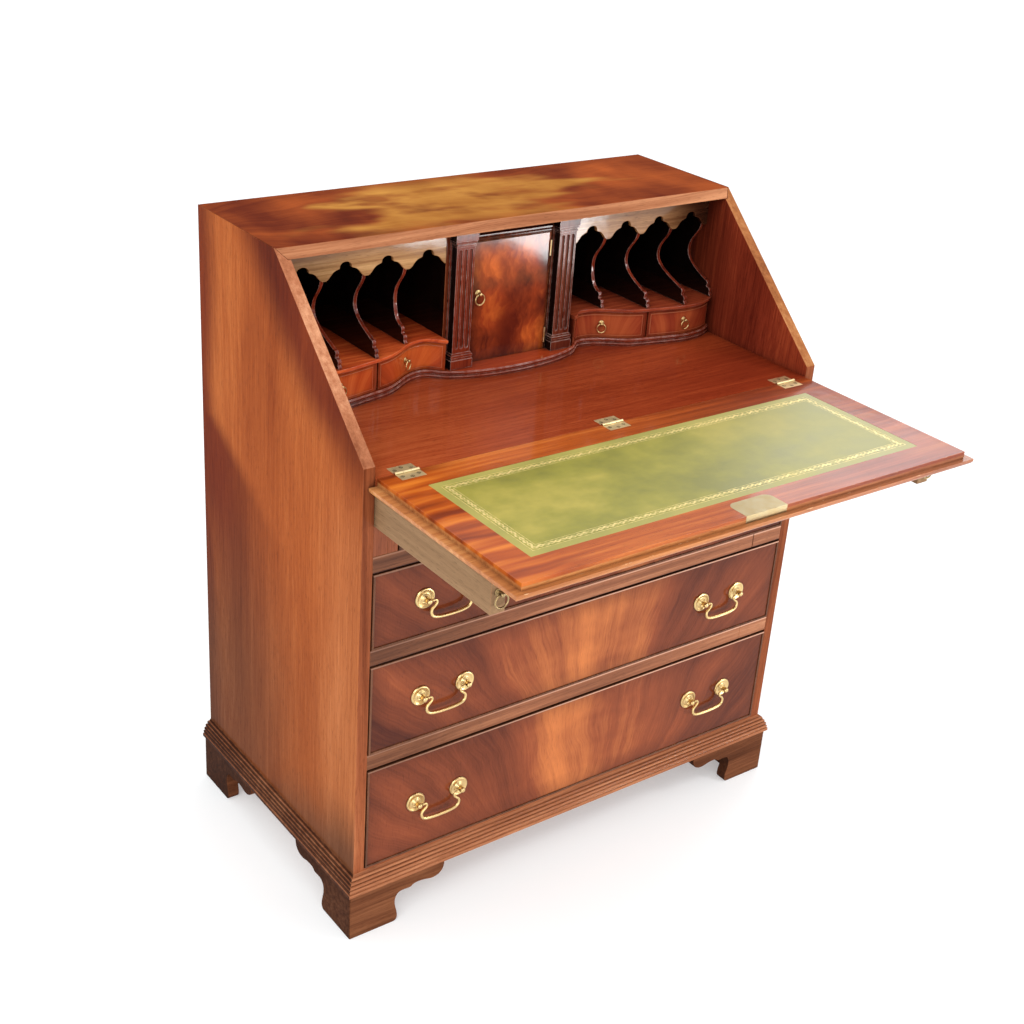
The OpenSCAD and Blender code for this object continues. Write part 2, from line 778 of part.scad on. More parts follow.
// Right half of the bail's centre line from the pin to the middle: X from the post, Z from the pivot
BAIL = [
  [[-8, 0], [-13.5, 0.6], [-16.5, -4.5], [-11.4, -9]],
  [[-11.4, -9], [-6.8, -13], [-4, -14.6], [-5, -20]],
  [[-5, -20], [-6, -27.5], [-14, -30], [-38.5, -30]]];
bail_end = [-38.5, -30];
bail_sides = 8;
bail_half = [for (p = concat(chain(BAIL, 5), [bail_end]))
               [post_x * (1 - p[0] / bail_end[0]), bail_drop * p[1] / -bail_end[1]]];
bail_last = len(bail_half) - 1;
bail_line = concat(bail_half, mirrored([for (i = [0 : bail_last - 1]) bail_half[i]]));
function bail_radius(k) = 1.6 + pow(sin(180 * k / (2 * bail_last)), 2);
function bail_dir(k) = let (a = bail_line[max(k - 1, 0)], b = bail_line[min(k + 1, 2 * bail_last)])
                       (b - a) / norm(b - a);
function bail_ring(k) = let (t = bail_dir(k), r = bail_radius(k))
  [for (j = [0 : bail_sides - 1]) let (a = 360 * j / bail_sides)
    [bail_line[k][0] - t[1] * r * cos(a), r * sin(a), bail_line[k][1] + t[0] * r * cos(a)]];

module bail_wire() {
  n = len(bail_line);
  m = bail_sides;
  points = [for (k = [0 : n - 1]) for (p = bail_ring(k)) p];
  walls = [for (k = [0 : n - 2]) for (j = [0 : m - 1])
            [k * m + j, k * m + (j + 1) % m, (k + 1) * m + (j + 1) % m, (k + 1) * m + j]];
  start = [[for (j = [m - 1 : -1 : 0]) j]];
  end = [[for (j = [0 : m - 1]) (n - 1) * m + j]];
  polyhedron(points, concat(start, walls, end), convexity = 6);
}

// Swan-neck bail: two round pins with collars, joined by the bent wire
module bail(i, side) {
  color(brass)
    translate([side * handle_x, front_y - pivot_out, ROW_Z[i] + ROW_H[i] / 2]) {
      bail_wire();
      both_sides() {
        rod_x([post_x - 5, 0, 0], 1.45, 7);
        rod_x([post_x - 7.1, 0, 0], 2.4, 2.4);
      }
    }
}

// ---------------------------------------------------------------- small drawers

// Right-hand openings: the inner drawer, then the outer one
SMALL_X = [[hole_x0 + 0.8, mid_x - 3.3], [mid_x + 3.3, hole_x1 - 0.8]];
SMALL_BACK = [26, -14];
small_front_set = 5;
function small_mid(k) = (SMALL_X[k][0] + SMALL_X[k][1]) / 2;

module small_drawer(k) {
  x0 = SMALL_X[k][0];
  x1 = SMALL_X[k][1];
  z0 = plinth_top + 0.6;
  z1 = shelf_z - 0.8;
  back = gallery_y + SMALL_BACK[k];
  y2 = inner_back - 14;
  color(mahogany) {
    difference() {
      intersection() {
        union() {
          layer(z0, z1) gallery_plan(small_front_set, x0, x1);
          layer(z0 + 4, z1 - 4) gallery_plan(small_front_set - 0.8, x0 + 4, x1 - 4);
        }
        board([x0, gallery_y - 80, z0], [x1, back, z1]);
      }
      at_small(k) boss_hole();
    }
  }
  color(pale_wood) {
    for (x = [x0 + 0.4, x1 - 5.4]) board([x, back + glue, z0], [x + 5, y2, z1 - 4]);
    board([x0 + 5.5, y2 - 5, z0 + 4], [x1 - 5.5, y2, z1 - 6]);
    board([x0 + 5.5, back + glue, z0 + 0.4], [x1 - 5.5, y2, z0 + 3.9]);
  }
}

// Centre of a small drawer's pull, square to the curved front
module at_small(k) {
  x = small_mid(k);
  translate([x, serp(x) + small_front_set - 0.8, plinth_top + small_h / 2 + 3])
    rotate([0, 0, serp_slope(x)]) scale(small_pull) children();
}

// ---------------------------------------------------------------- cupboard

door_axis_x = door_half + 0.2;
door_axis_y = gallery_y - 1.4;
DOOR_HINGE_Z = [plinth_top + 24, plinth_top + door_h - 24];

module at_door_pull() {
  translate([-door_half + 11, gallery_y, plinth_top + 110]) scale(door_pull) children();
}

door_knuckle_r = 1.6;
door_knuckle_h = 8;
door_pin_r = 0.7;
door_leaf_half = 12;
door_leaf_d = 9;
door_notch_half = door_leaf_half + 0.6;

module door_pin_bore() {
  cylinder(r = door_pin_r + 0.05, h = 30, center = true, $fn = 16);
}

module door_knuckle() {
  difference() {
    cylinder(r = door_knuckle_r, h = door_knuckle_h, center = true, $fn = 24);
    door_pin_bore();
  }
}

// Room in a leaf for a knuckle of the other leaf
module door_knuckle_relief() {
  cylinder(r = door_knuckle_r + 0.3, h = door_knuckle_h + 0.6, center = true, $fn = 24);
}

module cupboard_door() {
  color(mahogany) difference() {
    board([-door_half, gallery_y, plinth_top + 0.4], [door_half, gallery_y + door_t, plinth_top + door_h]);
    for (z = DOOR_HINGE_Z)
      board([door_half - 0.8, gallery_y - 1, z - door_notch_half],
            [door_half + 1, gallery_y + door_t + 1, z + door_notch_half]);
    at_door_pull() boss_hole();
  }
}

// Moving hinge leaves and the boss of the ring pull
module door_fittings() {
  color(brass) {
    for (z = DOOR_HINGE_Z) translate([door_axis_x, door_axis_y, z]) {
      door_knuckle();
      difference() {
        board([-0.9, 0, -door_leaf_half], [-0.3, door_leaf_d, door_leaf_half]);
        both_ends() door_knuckle_relief();
        door_pin_bore();
      }
    }
    at_door_pull() boss();
  }
}

module door_ring() {
  color(brass) at_door_pull() ring();
}

// Tall document box with a fluted pilaster for its front
module document_box_right() {
  x0 = box_x0;
  x1 = box_x0 + box_w;
  xc = (x0 + x1) / 2;
  z0 = plinth_top + 0.5;
  z1 = top_z - 1;
  y0 = gallery_y - pilaster_out;
  shaft_half = 16;
  shaft_y = y0 + 3;
  shaft_z0 = z0 + 28;
  shaft_z1 = top_z - 27;
  y2 = inner_back - 14;
  color(dark_mahogany) {
    difference() {
      union() {
        board([xc - shaft_half, shaft_y, z0], [xc + shaft_half, gallery_y, z1]);
        // Plinth block and the three steps over it, each as inset, low edge and height
        for (s = [[0, 0, 14], [1.2, 14, 3.5], [0.4, 17.5, 4], [2.2, 21.5, 3]])
          board([x0 + s[0], y0 + s[0], z0 + s[1]], [x1 - s[0], gallery_y, z0 + s[1] + s[2]]);
        // Necking, steps and abacus of the capital
        for (s = [[2.2, 26, 3], [1.2, 21, 3.5], [0, 17.5, 16.5]])
          board([x0 + s[0], y0 + s[0], top_z - s[1]], [x1 - s[0], gallery_y, top_z - s[1] + s[2]]);
      }
      for (f = [-1, 0, 1]) translate([xc + f * 9.4, shaft_y - 0.6, 0]) {
        translate([0, 0, shaft_z0 + 6]) cylinder(r = 3.1, h = shaft_z1 - shaft_z0 - 12);
        for (z = [shaft_z0 + 6, shaft_z1 - 6]) translate([0, 0, z]) sphere(r = 3.1);
      }
    }
  }
  color(pale_wood) {
    for (x = [x0 + 0.3, x1 - 3.3]) board([x, gallery_y + glue, z0], [x + 3, y2, z1 - 12]);
    board([x0 + 3.4, y2 - 4, z0 + 4], [x1 - 3.4, y2, z1 - 12]);
    board([x0 + 3.4, gallery_y + glue, z0], [x1 - 3.4, y2, z0 + 3.9]);
  }
}

module document_box_left() {
  mirror([1, 0, 0]) document_box_right();
}

// ---------------------------------------------------------------- what is drawn

side_left();
side_right();
top_board();
back_boards();
bottom_board();
writing_bed();
drawer_dividers();
loper_dividers();
base_moulding();
bracket_feet();
gallery_plinth();
gallery_shelves();
gallery_partitions();
pigeonhole_dividers();
valances();
cupboard_frame();
fixed_hinge_leaves();
fall_panel();
writing_leather();
fall_lock();
fall_hinge_leaves();
loper_left();
loper_right();
loper_boss_left();
loper_boss_right();
loper_ring_left();
loper_ring_right();
// Long drawers count from the top one down
for (i = [1 : 4]) {
  drawer(i - 1);
  handle_posts(i - 1);
  bail(i - 1, -1);
  bail(i - 1, 1);
}
// Small drawers count from the left: outer, inner, inner, outer
for (i = [1 : 4]) {
  k = i == 1 || i == 4 ? 1 : 0;
  flip = i < 3 ? 1 : 0;
  mirror([flip, 0, 0]) small_drawer(k);
  color(brass) mirror([flip, 0, 0]) at_small(k) boss();
  color(brass) mirror([flip, 0, 0]) at_small(k) ring();
}
cupboard_door();
door_fittings();
door_ring();
document_box_left();
document_box_right();
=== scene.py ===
import json
import math

import bmesh
import bpy
from mathutils import Matrix, Vector


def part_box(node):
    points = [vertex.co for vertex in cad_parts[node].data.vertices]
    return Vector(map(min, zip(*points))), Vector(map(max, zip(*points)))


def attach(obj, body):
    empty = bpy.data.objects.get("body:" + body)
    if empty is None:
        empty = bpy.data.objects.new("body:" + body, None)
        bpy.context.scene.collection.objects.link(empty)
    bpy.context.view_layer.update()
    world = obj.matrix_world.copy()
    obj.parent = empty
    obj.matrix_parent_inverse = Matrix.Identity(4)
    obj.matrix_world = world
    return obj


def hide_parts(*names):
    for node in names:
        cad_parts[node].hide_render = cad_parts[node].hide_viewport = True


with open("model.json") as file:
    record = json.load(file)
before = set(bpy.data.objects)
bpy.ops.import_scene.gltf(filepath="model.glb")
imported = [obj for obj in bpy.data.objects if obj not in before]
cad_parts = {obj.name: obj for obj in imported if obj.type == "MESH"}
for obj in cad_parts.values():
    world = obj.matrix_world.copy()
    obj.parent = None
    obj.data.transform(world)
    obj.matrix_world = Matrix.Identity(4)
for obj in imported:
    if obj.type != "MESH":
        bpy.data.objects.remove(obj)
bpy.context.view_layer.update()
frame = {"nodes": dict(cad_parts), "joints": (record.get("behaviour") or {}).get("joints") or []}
MM = 0.001


# ------------------------------------------------------------------ places, from the frame

def joint_of(body):
    """The joint that moves a body."""
    return next(j for j in frame["joints"] if j["child"] == body)


def middle(node):
    low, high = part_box(node)
    return (low + high) / 2


FRONT_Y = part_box("side_left")[0].y
TOP_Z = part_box("top_board")[1].z
FALL_LOW, FALL_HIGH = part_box("fall_panel")
LEATHER_LOW, LEATHER_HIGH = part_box("writing_leather")
BED_Z = LEATHER_HIGH.z
SLANT_FOOT, SLANT_HEAD = (FRONT_Y, BED_Z), (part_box("top_board")[0].y, TOP_Z)
DRAWER_FRONT_T = 20 * MM
DRAWERS = [f"drawer_{k}" for k in (1, 2, 3, 4)]
SMALL_DRAWERS = [f"small_drawer_{k}" for k in (1, 2, 3, 4)]
# Y where a small drawer's box starts, behind its shaped front
SMALL_BOX_START = dict(zip(SMALL_DRAWERS, (0.177, 0.217, 0.217, 0.177)))


# ------------------------------------------------------------------ shader helpers

def srgb(r, g, b):
    """A display colour given from 0 to 255, as the linear colour that a shader takes."""
    return tuple(((c / 255 + 0.055) / 1.055) ** 2.4 for c in (r, g, b)) + (1.0,)


class Graph:
    """A material's nodes, with short calls for those that the finishes share."""

    def __init__(self, name):
        self.material = bpy.data.materials.new(name)
        self.material.use_nodes = True
        self.tree = self.material.node_tree
        self.shader = self.tree.nodes["Principled BSDF"]
        self.coords = self.add("ShaderNodeTexCoord").outputs["Object"]

    def put(self, socket, value):
        if isinstance(value, bpy.types.NodeSocket):
            self.tree.links.new(value, socket)
        else:
            socket.default_value = value

    def add(self, kind, inputs=(), **settings):
        node = self.tree.nodes.new(kind)
        for key, value in settings.items():
            setattr(node, key, value)
        for key, value in dict(inputs).items():
            self.put(node.inputs[key], value)
        return node

    def math(self, operation, *values, clamp=False):
        node = self.add("ShaderNodeMath", operation=operation, use_clamp=clamp)
        for socket, value in zip(node.inputs, values):
            self.put(socket, value)
        return node.outputs[0]

    def vector(self, operation, a, b):
        node = self.add("ShaderNodeVectorMath", {0: a, 1: b}, operation=operation)
        return node.outputs["Vector"]

    def split(self, vector):
        return self.add("ShaderNodeSeparateXYZ", {0: vector}).outputs

    def join(self, x, y, z):
        return self.add("ShaderNodeCombineXYZ", {0: x, 1: y, 2: z}).outputs[0]

    def noise(self, vector, stretch=(1, 1, 1), detail=2.0, rough=0.5, low=0.3, high=0.7):
        """Noise with a frequency per metre along each axis, spread to run from 0 to 1."""
        at = self.vector("MULTIPLY", vector, stretch)
        node = self.add("ShaderNodeTexNoise",
                        {"Vector": at, "Scale": 1.0, "Detail": detail, "Roughness": rough})
        return self.step(node.outputs[0], low, high)

    def step(self, value, low, high, smooth=False):
        """0 below low and 1 above high, or the other way round where low is the larger."""
        node = self.add("ShaderNodeMapRange", {0: value, 1: low, 2: high, 3: 0.0, 4: 1.0},
                        interpolation_type="SMOOTHSTEP" if smooth else "LINEAR")
        return node.outputs[0]

    def mix(self, factor, a, b, blend="MIX"):
        node = self.add("ShaderNodeMix", data_type="RGBA", blend_type=blend)
        self.put(node.inputs[0], factor)
        self.put(node.inputs[6], a)
        self.put(node.inputs[7], b)
        return node.outputs[2]

    def between(self, factor, a, b):
        """A number that runs from a to b."""
        return self.add("ShaderNodeMapRange", {0: factor, 3: a, 4: b}).outputs[0]

    def ramp(self, value, stops):
        node = self.add("ShaderNodeValToRGB", {0: value})
        ramp = node.color_ramp
        while len(ramp.elements) < len(stops):
            ramp.elements.new(0.5)
        for element, (position, colour) in zip(ramp.elements, stops):
            element.position, element.color = position, colour
        return node.outputs[0]

    def bump(self, height, distance, strength=1.0):
        node = self.add("ShaderNodeBump", {"Height": height, "Distance": distance, "Strength": strength})
        return node.outputs[0]

    def edges(self, radius):
        """1 on convex and hollow edges, 0 on flat faces."""
        soft = self.add("ShaderNodeBevel", {"Radius": radius}, samples=4).outputs[0]
        true = self.add("ShaderNodeNewGeometry").outputs["Normal"]
        dot = self.add("ShaderNodeVectorMath", {0: soft, 1: true}, operation="DOT_PRODUCT")
        return self.step(dot.outputs["Value"], 0.995, 0.86)

    def facing(self):
        """The surface's direction, as X, Y and Z."""
        return self.split(self.add("ShaderNodeNewGeometry").outputs["Normal"])[:3]

    def hollows(self, distance):
        """1 in corners and hollows, 0 in the open."""
        node = self.add("ShaderNodeAmbientOcclusion", {"Distance": distance}, samples=4)
        return self.step(node.outputs["AO"], 0.9, 0.25)


# ------------------------------------------------------------------ wood

# Dark, middle and light tone of each kind of wood
# Several kinds are darker or lighter copies of another, used for painted light and shade
MAHOGANY = {
    "case": (srgb(130, 56, 18), srgb(159, 80, 34), srgb(184, 103, 50)),
    "tan": (srgb(152, 82, 42), srgb(182, 108, 62), srgb(206, 132, 84)),
    "deep": (srgb(64, 14, 3), srgb(88, 23, 5), srgb(112, 38, 11)),
    "dusk": (srgb(70, 41, 26), srgb(92, 57, 38), srgb(114, 75, 54)),
    "edge": (srgb(130, 74, 48), srgb(168, 106, 74), srgb(204, 146, 110)),
    "bed": (srgb(118, 44, 20), srgb(152, 66, 34), srgb(188, 98, 54)),
    "bed_shade": (srgb(92, 28, 14), srgb(124, 44, 22), srgb(160, 68, 34)),
    "wall": (srgb(92, 30, 19), srgb(134, 52, 32), srgb(174, 80, 47)),
    "wine": (srgb(74, 21, 12), srgb(122, 43, 23), srgb(168, 78, 46)),
    "plum": (srgb(52, 17, 11), srgb(92, 36, 22), srgb(134, 66, 44)),
    "fall": (srgb(130, 54, 16), srgb(174, 83, 27), srgb(208, 120, 50)),
    "brown": (srgb(98, 46, 26), srgb(140, 76, 46), srgb(184, 116, 76)),
    "rail": (srgb(104, 58, 36), srgb(148, 92, 62), srgb(192, 132, 94)),
    "shade": (srgb(40, 19, 11), srgb(62, 33, 20), srgb(94, 56, 36)),
    "umber": (srgb(40, 20, 11), srgb(64, 35, 21), srgb(94, 58, 38)),
    "foot": (srgb(66, 35, 20), srgb(102, 60, 38), srgb(138, 88, 58)),
    "shelf": (srgb(132, 42, 20), srgb(188, 72, 34), srgb(232, 112, 56)),
    "ledge": (srgb(126, 41, 17), srgb(163, 62, 29), srgb(202, 92, 46)),
    "slant": (srgb(121, 69, 39), srgb(158, 99, 58), srgb(188, 135, 87)),
    "lip": (srgb(142, 82, 44), srgb(186, 118, 66), srgb(220, 160, 98)),
    "dark": (srgb(30, 9, 5), srgb(60, 20, 11), srgb(104, 42, 22)),
    "inner_shade": (srgb(5, 2, 2), srgb(10, 4, 3), srgb(22, 8, 5)),
    "gold": (srgb(116, 74, 44), srgb(172, 126, 82), srgb(220, 178, 124)),
    "dull": (srgb(124, 95, 68), srgb(143, 112, 82), srgb(160, 127, 95)),
    "pine": (srgb(132, 92, 54), srgb(168, 126, 80), srgb(194, 154, 106)),
}
CROTCH = (srgb(70, 28, 16), srgb(134, 66, 37), srgb(224, 134, 72))
PORE = srgb(40, 14, 8)
# Rubbed edges of plain wood, the silvery painted highlight along the gallery's edges, and the painted
# highlight along a rounded upper edge
RUBBED, SILVERY_GLINT, ARRIS_HIGHLIGHT = srgb(196, 120, 76), srgb(206, 172, 160), srgb(214, 164, 138)


def along(g, grain, seed=0.0):
    """Object coordinates in metres with the grain along the first, shifted by a seed."""
    x, y, z = g.split(g.coords)[:3]
    order = {"x": (x, y, z), "y": (y, x, z), "z": (z, x, y)}[grain]
    at = g.join(*order)
    return g.vector("ADD", at, (seed * 1.7, seed * 2.3, seed * 3.1))


def wood_layers(g, at, wander=0.012):
    """Broad tone, streaks, fibre and pores of straight-grained wood, each from 0 to 1."""
    bend = g.noise(at, (1.4, 4, 4), 2, low=0.0, high=1.0)
    shift = g.math("MULTIPLY", g.math("SUBTRACT", bend, 0.5), wander * 4)
    at = g.vector("ADD", at, g.join(0.0, shift, shift))
    return {
        "broad": g.noise(at, (1.1, 6, 6), 3),
        "streak": g.noise(at, (2.2, 120, 120), 4, 0.6),
        "fibre": g.noise(at, (12, 480, 480), 3, 0.6),
        "pore": g.noise(at, (60, 1500, 1500), 2, low=0.60, high=0.68),
        "at": at,
    }


def wood_colour(g, layers, tones, broad=0.45, streak=0.4):
    total = g.math("MULTIPLY", layers["broad"], broad)
    total = g.math("MULTIPLY_ADD", layers["streak"], streak, total)
    total = g.math("MULTIPLY_ADD", layers["fibre"], 1 - broad - streak, total)
    colour = g.ramp(total, [(0.12, tones[0]), (0.5, tones[1]), (0.88, tones[2])])
    return g.mix(g.math("MULTIPLY", layers["pore"], 0.45), colour, PORE)


def woods(g, layers, kinds, broad=0.45, streak=0.4):
    """The colours of several named tones over the same grain."""
    return [wood_colour(g, layers, MAHOGANY[kind], broad, streak) for kind in kinds]


def polish(g, colour, layers, rough=0.36, coat=0.4, coat_rough=0.10, worn=0.35, rub=RUBBED, dirt=0.5,
           sheen=0.0):
    """French polish over a wood colour: rubbed edges, painted highlights where the edge colour is a glint,
    darker corners and hollows, a slightly uneven gloss.
    """
    # Rubbed edges in the edge colour; with a glint colour they are painted highlights
    edge = g.math("MULTIPLY", g.edges(1.6 * MM), g.noise(g.coords, (90, 90, 90), 3))
    colour = g.mix(g.math("MULTIPLY", edge, worn), colour, rub)
    # Darker in corners and hollows, by ambient occlusion
    colour = g.mix(g.math("MULTIPLY", g.hollows(14 * MM), dirt), colour, srgb(22, 8, 5))
    smear = g.noise(g.coords, (9, 9, 9), 4)
    g.put(g.shader.inputs["Base Color"], colour)
    g.put(g.shader.inputs["Roughness"], g.between(smear, rough - 0.06, rough + 0.10))
    g.shader.inputs["Specular IOR Level"].default_value = sheen
    g.shader.inputs["Coat Weight"].default_value = coat
    g.shader.inputs["Coat IOR"].default_value = 1.5
    g.shader.inputs["Coat Roughness"].default_value = coat_rough
    grain = g.math("MULTIPLY_ADD", layers["pore"], -1.0, g.math("MULTIPLY", layers["fibre"], 0.5))
    g.put(g.shader.inputs["Normal"], g.bump(grain, 0.05 * MM, 0.8))
    ripple = g.noise(g.coords, (26, 26, 26), 2, low=0.0, high=1.0)
    g.put(g.shader.inputs["Coat Normal"], g.bump(ripple, 0.5 * MM, 0.35))
    return g.material


def plain_wood(name, tones, grain="x", seed=0.0, **finish):
    g = Graph(name)
    layers = wood_layers(g, along(g, grain, seed))
    return polish(g, wood_colour(g, layers, MAHOGANY[tones]), layers, **finish)


def crotch_colour(g, across, up, focus, spread, seed, tones=CROTCH, width=0.13, glow=1.0):
    """Flame figure: streaks that fan out from a point below the panel, brightest in the middle.
    across and up are coordinates in the panel's plane, in metres."""
    plane = g.join(across, up, seed)
    warp = g.noise(plane, (5, 5, 1), 3, low=0.0, high=1.0)
    dx = g.math("SUBTRACT", across, focus[0])
    dx = g.math("ADD", dx, g.math("MULTIPLY", g.math("SUBTRACT", warp, 0.5), 0.08))
    dz = g.math("SUBTRACT", up, focus[1])
    angle = g.math("ARCTAN2", dx, dz)
    reach = g.math("SQRT", g.math("ADD", g.math("POWER", dx, 2.0), g.math("POWER", dz, 2.0)))
    fan = g.join(g.math("MULTIPLY", angle, spread), reach, seed)
    wide = g.noise(fan, (8, 1.3, 1), 3, 0.5)
    thin = g.noise(fan, (30, 1.8, 1), 2, 0.5)
    hair = g.noise(fan, (260, 14, 1), 3, 0.6)
    plume = g.math("DIVIDE", dx, width)
    plume = g.math("EXPONENT", g.math("MULTIPLY", g.math("POWER", plume, 2.0), -1.0))
    patch = g.noise(plane, (6, 9, 1), 3)
    light = g.math("MULTIPLY", plume, g.between(patch, 0.25, glow))
    total = g.math("MULTIPLY_ADD", wide, 0.30, g.math("MULTIPLY", light, 0.52))
    total = g.math("MULTIPLY_ADD", thin, 0.13, total)
    total = g.math("MULTIPLY_ADD", hair, 0.10, total)
    return g.ramp(total, [(0.08, tones[0]), (0.42, tones[1]), (0.92, tones[2])])


def rim(g, across, up, low, high, depth):
    """1 at the border of a rectangle in a panel's plane, falling to 0 at a depth inside it."""
    sides = [g.math("SUBTRACT", across, low[0]), g.math("SUBTRACT", high[0], across),
             g.math("SUBTRACT", up, low[1]), g.math("SUBTRACT", high[1], up)]
    nearest = sides[0]
    for side in sides[1:]:
        nearest = g.math("MINIMUM", nearest, side)
    return g.step(nearest, depth, 0.0), nearest


def drawer_finish(name, node, seed, focus_x, width, glow):
    """Flame veneer on the front with a painted highlight along its top edge, pale secondary wood with
    dovetails on the box behind it.
    """
    g = Graph(name)
    x, y, z = g.split(g.coords)[:3]
    low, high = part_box(node)
    layers = wood_layers(g, along(g, "z", seed))
    focus = (focus_x, low.z - 0.28)
    veneer = crotch_colour(g, x, z, focus, 0.5, seed, width=width, glow=glow)
    veneer = g.mix(g.math("MULTIPLY", layers["pore"], 0.35), veneer, PORE)
    border, nearest = rim(g, x, z, (low.x, low.z), (high.x, high.z), 34 * MM)
    veneer = g.mix(g.math("MULTIPLY", border, 0.35), veneer, srgb(58, 24, 14))
    bead = g.step(nearest, 3.4 * MM, 3.0 * MM)
    veneer = g.mix(bead, veneer, wood_colour(g, layers, MAHOGANY["dusk"]))
    # Painted highlight along the front's rounded top edge
    veneer = g.mix(arris_highlight(g, x, z, high.z - 1.6 * MM), veneer, ARRIS_HIGHLIGHT)
    box_layers = wood_layers(g, along(g, "y", seed + 0.4))
    raw = wood_colour(g, box_layers, MAHOGANY["pine"])
    front_back = FRONT_Y + DRAWER_FRONT_T
    raw = g.mix(dovetails(g, y, z, front_back, low.z), raw, srgb(112, 62, 36))
    inside = g.step(y, front_back, front_back + 0.1 * MM)
    material = polish(g, g.mix(inside, veneer, raw), layers, dirt=0.65)
    g.put(g.shader.inputs["Coat Weight"], g.between(inside, 0.4, 0.0))
    return material


def arris_highlight(g, x, z, at):
    """A painted highlight: a fine bright line along a rounded upper edge at a height, stronger away from
    the left end.
    """
    return g.math("MULTIPLY", stripe(g, z, at, 1.0 * MM), g.between(g.step(x, -0.35, 0.05), 0.2, 0.8))


def rail_finish(name):
    """Browner at the left. Each rail has a painted highlight along its upper edge and a painted shadow
    along its lower one, over the gap above the drawer below.
    """
    g = Graph(name)
    x, _, z = g.split(g.coords)[:3]
    layers = wood_layers(g, along(g, "x", 7.7))
    colour = g.mix(g.step(x, -0.36, -0.05, smooth=True), *woods(g, layers, ("foot", "rail")))
    for node in DRAWERS:
        low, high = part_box(node)
        # Painted highlight along the rail's upper edge
        colour = g.mix(arris_highlight(g, x, z, low.z - 2.6 * MM), colour, ARRIS_HIGHLIGHT)
        # Painted shadow of the gap above the drawer below, in the pore colour
        colour = g.mix(stripe(g, z, high.z + 2.2 * MM, 1.0 * MM), colour, PORE)
    return polish(g, colour, layers)


def dovetails(g, y, z, start, low, pitch=30 * MM, depth=13 * MM):
    """Mask of the pins where a drawer's side meets its front: wedges that narrow to the front."""
    phase = g.math("FRACT", g.math("DIVIDE", g.math("SUBTRACT", z, low), pitch))
    off = g.math("ABSOLUTE", g.math("SUBTRACT", phase, 0.5))
    back = g.math("DIVIDE", g.math("SUBTRACT", y, start), depth)
    half = g.between(back, 0.30, 0.16)
    wedge = g.math("LESS_THAN", off, half)
    return g.math("MULTIPLY", wedge, g.math("LESS_THAN", back, 1.0))


def side_finish(name, node, seed):
    """Straight grain with painted shade along the slant, towards the back and in a slanting band half way
    up, painted light towards the front, and browner low down.
    The wall inside is redder, with painted shade towards the gallery, and the front and slanting edges are
    browner."""
    g = Graph(name)
    y, z = g.split(g.coords)[1:3]
    layers = wood_layers(g, along(g, "z", seed))
    warm, tan, deep, dusk, wall = woods(g, layers, ("case", "tan", "deep", "dusk", "wall"), 0.5, 0.2)
    stile, edge, shadow = woods(g, layers, ("brown", "edge" if node == "side_left" else "slant", "dark"))
    cloud = g.math("SUBTRACT", g.noise(g.coords, (2.4, 2.4, 1.6), 3), 0.5)
    hazy_y = g.math("MULTIPLY_ADD", cloud, 0.06, y)
    hazy_z = g.math("MULTIPLY_ADD", cloud, 0.10, z)
    # Painted shade along the slant, measured from the line between its foot and its head
    slant = (Vector(SLANT_HEAD) - Vector(SLANT_FOOT)).normalized()
    off = g.math("MULTIPLY", g.math("SUBTRACT", hazy_y, SLANT_FOOT[0]), slant.y)
    off = g.math("SUBTRACT", off, g.math("MULTIPLY", g.math("SUBTRACT", z, SLANT_FOOT[1]), slant.x))
    slant_shade = g.step(off, 0.11, 0.03, smooth=True)
    slant_shade = g.math("MULTIPLY", slant_shade, g.step(z, 0.70, 0.84, smooth=True))
    # Painted shade towards the back
    back = g.step(hazy_y, 0.33, 0.40, smooth=True)
    # A soft slanting painted shadow half way up, at the back
    shade = g.math("SUBTRACT", g.math("MULTIPLY_ADD", g.math("SUBTRACT", y, 0.4), 0.6, 0.73), z)
    top, foot = g.step(shade, 0.0, 0.05, smooth=True), g.step(shade, 0.45, 0.12, smooth=True)
    shade = g.math("MULTIPLY", top, foot)
    shade = g.math("MULTIPLY", shade, g.step(hazy_y, 0.08, 0.34, smooth=True))
    dark = g.math("MAXIMUM", g.math("MAXIMUM", slant_shade, back), shade)
    low = g.step(hazy_z, 0.60, 0.22, smooth=True)
    low = g.math("MULTIPLY", low, g.between(g.step(hazy_y, 0.0, 0.30, smooth=True), 0.15, 0.8))
    low = g.math("MAXIMUM", low, g.step(hazy_z, 0.24, 0.10, smooth=True))
    # Painted light towards the front, below the slant
    pale = g.step(hazy_y, 0.06, -0.05, smooth=True)
    pale = g.math("MULTIPLY", pale, g.step(z, 0.80, 0.62, smooth=True))
    colour = g.mix(g.math("MULTIPLY", pale, 0.7), warm, tan)
    colour = g.mix(g.math("MULTIPLY", dark, 0.9), colour, deep)
    colour = g.mix(g.math("MULTIPLY", low, 0.9), colour, dusk)
    nx, ny, nz = g.facing()
    outward = g.math("MULTIPLY", nx, math.copysign(1, middle(node).x))
    # Painted shade on the inside wall towards the gallery
    wall = g.mix(g.step(hazy_y, 0.04, 0.24, smooth=True), wall, shadow)
    colour = g.mix(g.step(outward, -0.3, -0.6), colour, wall)
    colour = g.mix(g.step(ny, -0.4, -0.6), colour, g.mix(g.step(nz, 0.3, 0.5), stile, edge))
    return polish(g, colour, layers, coat=0.12, coat_rough=0.14)


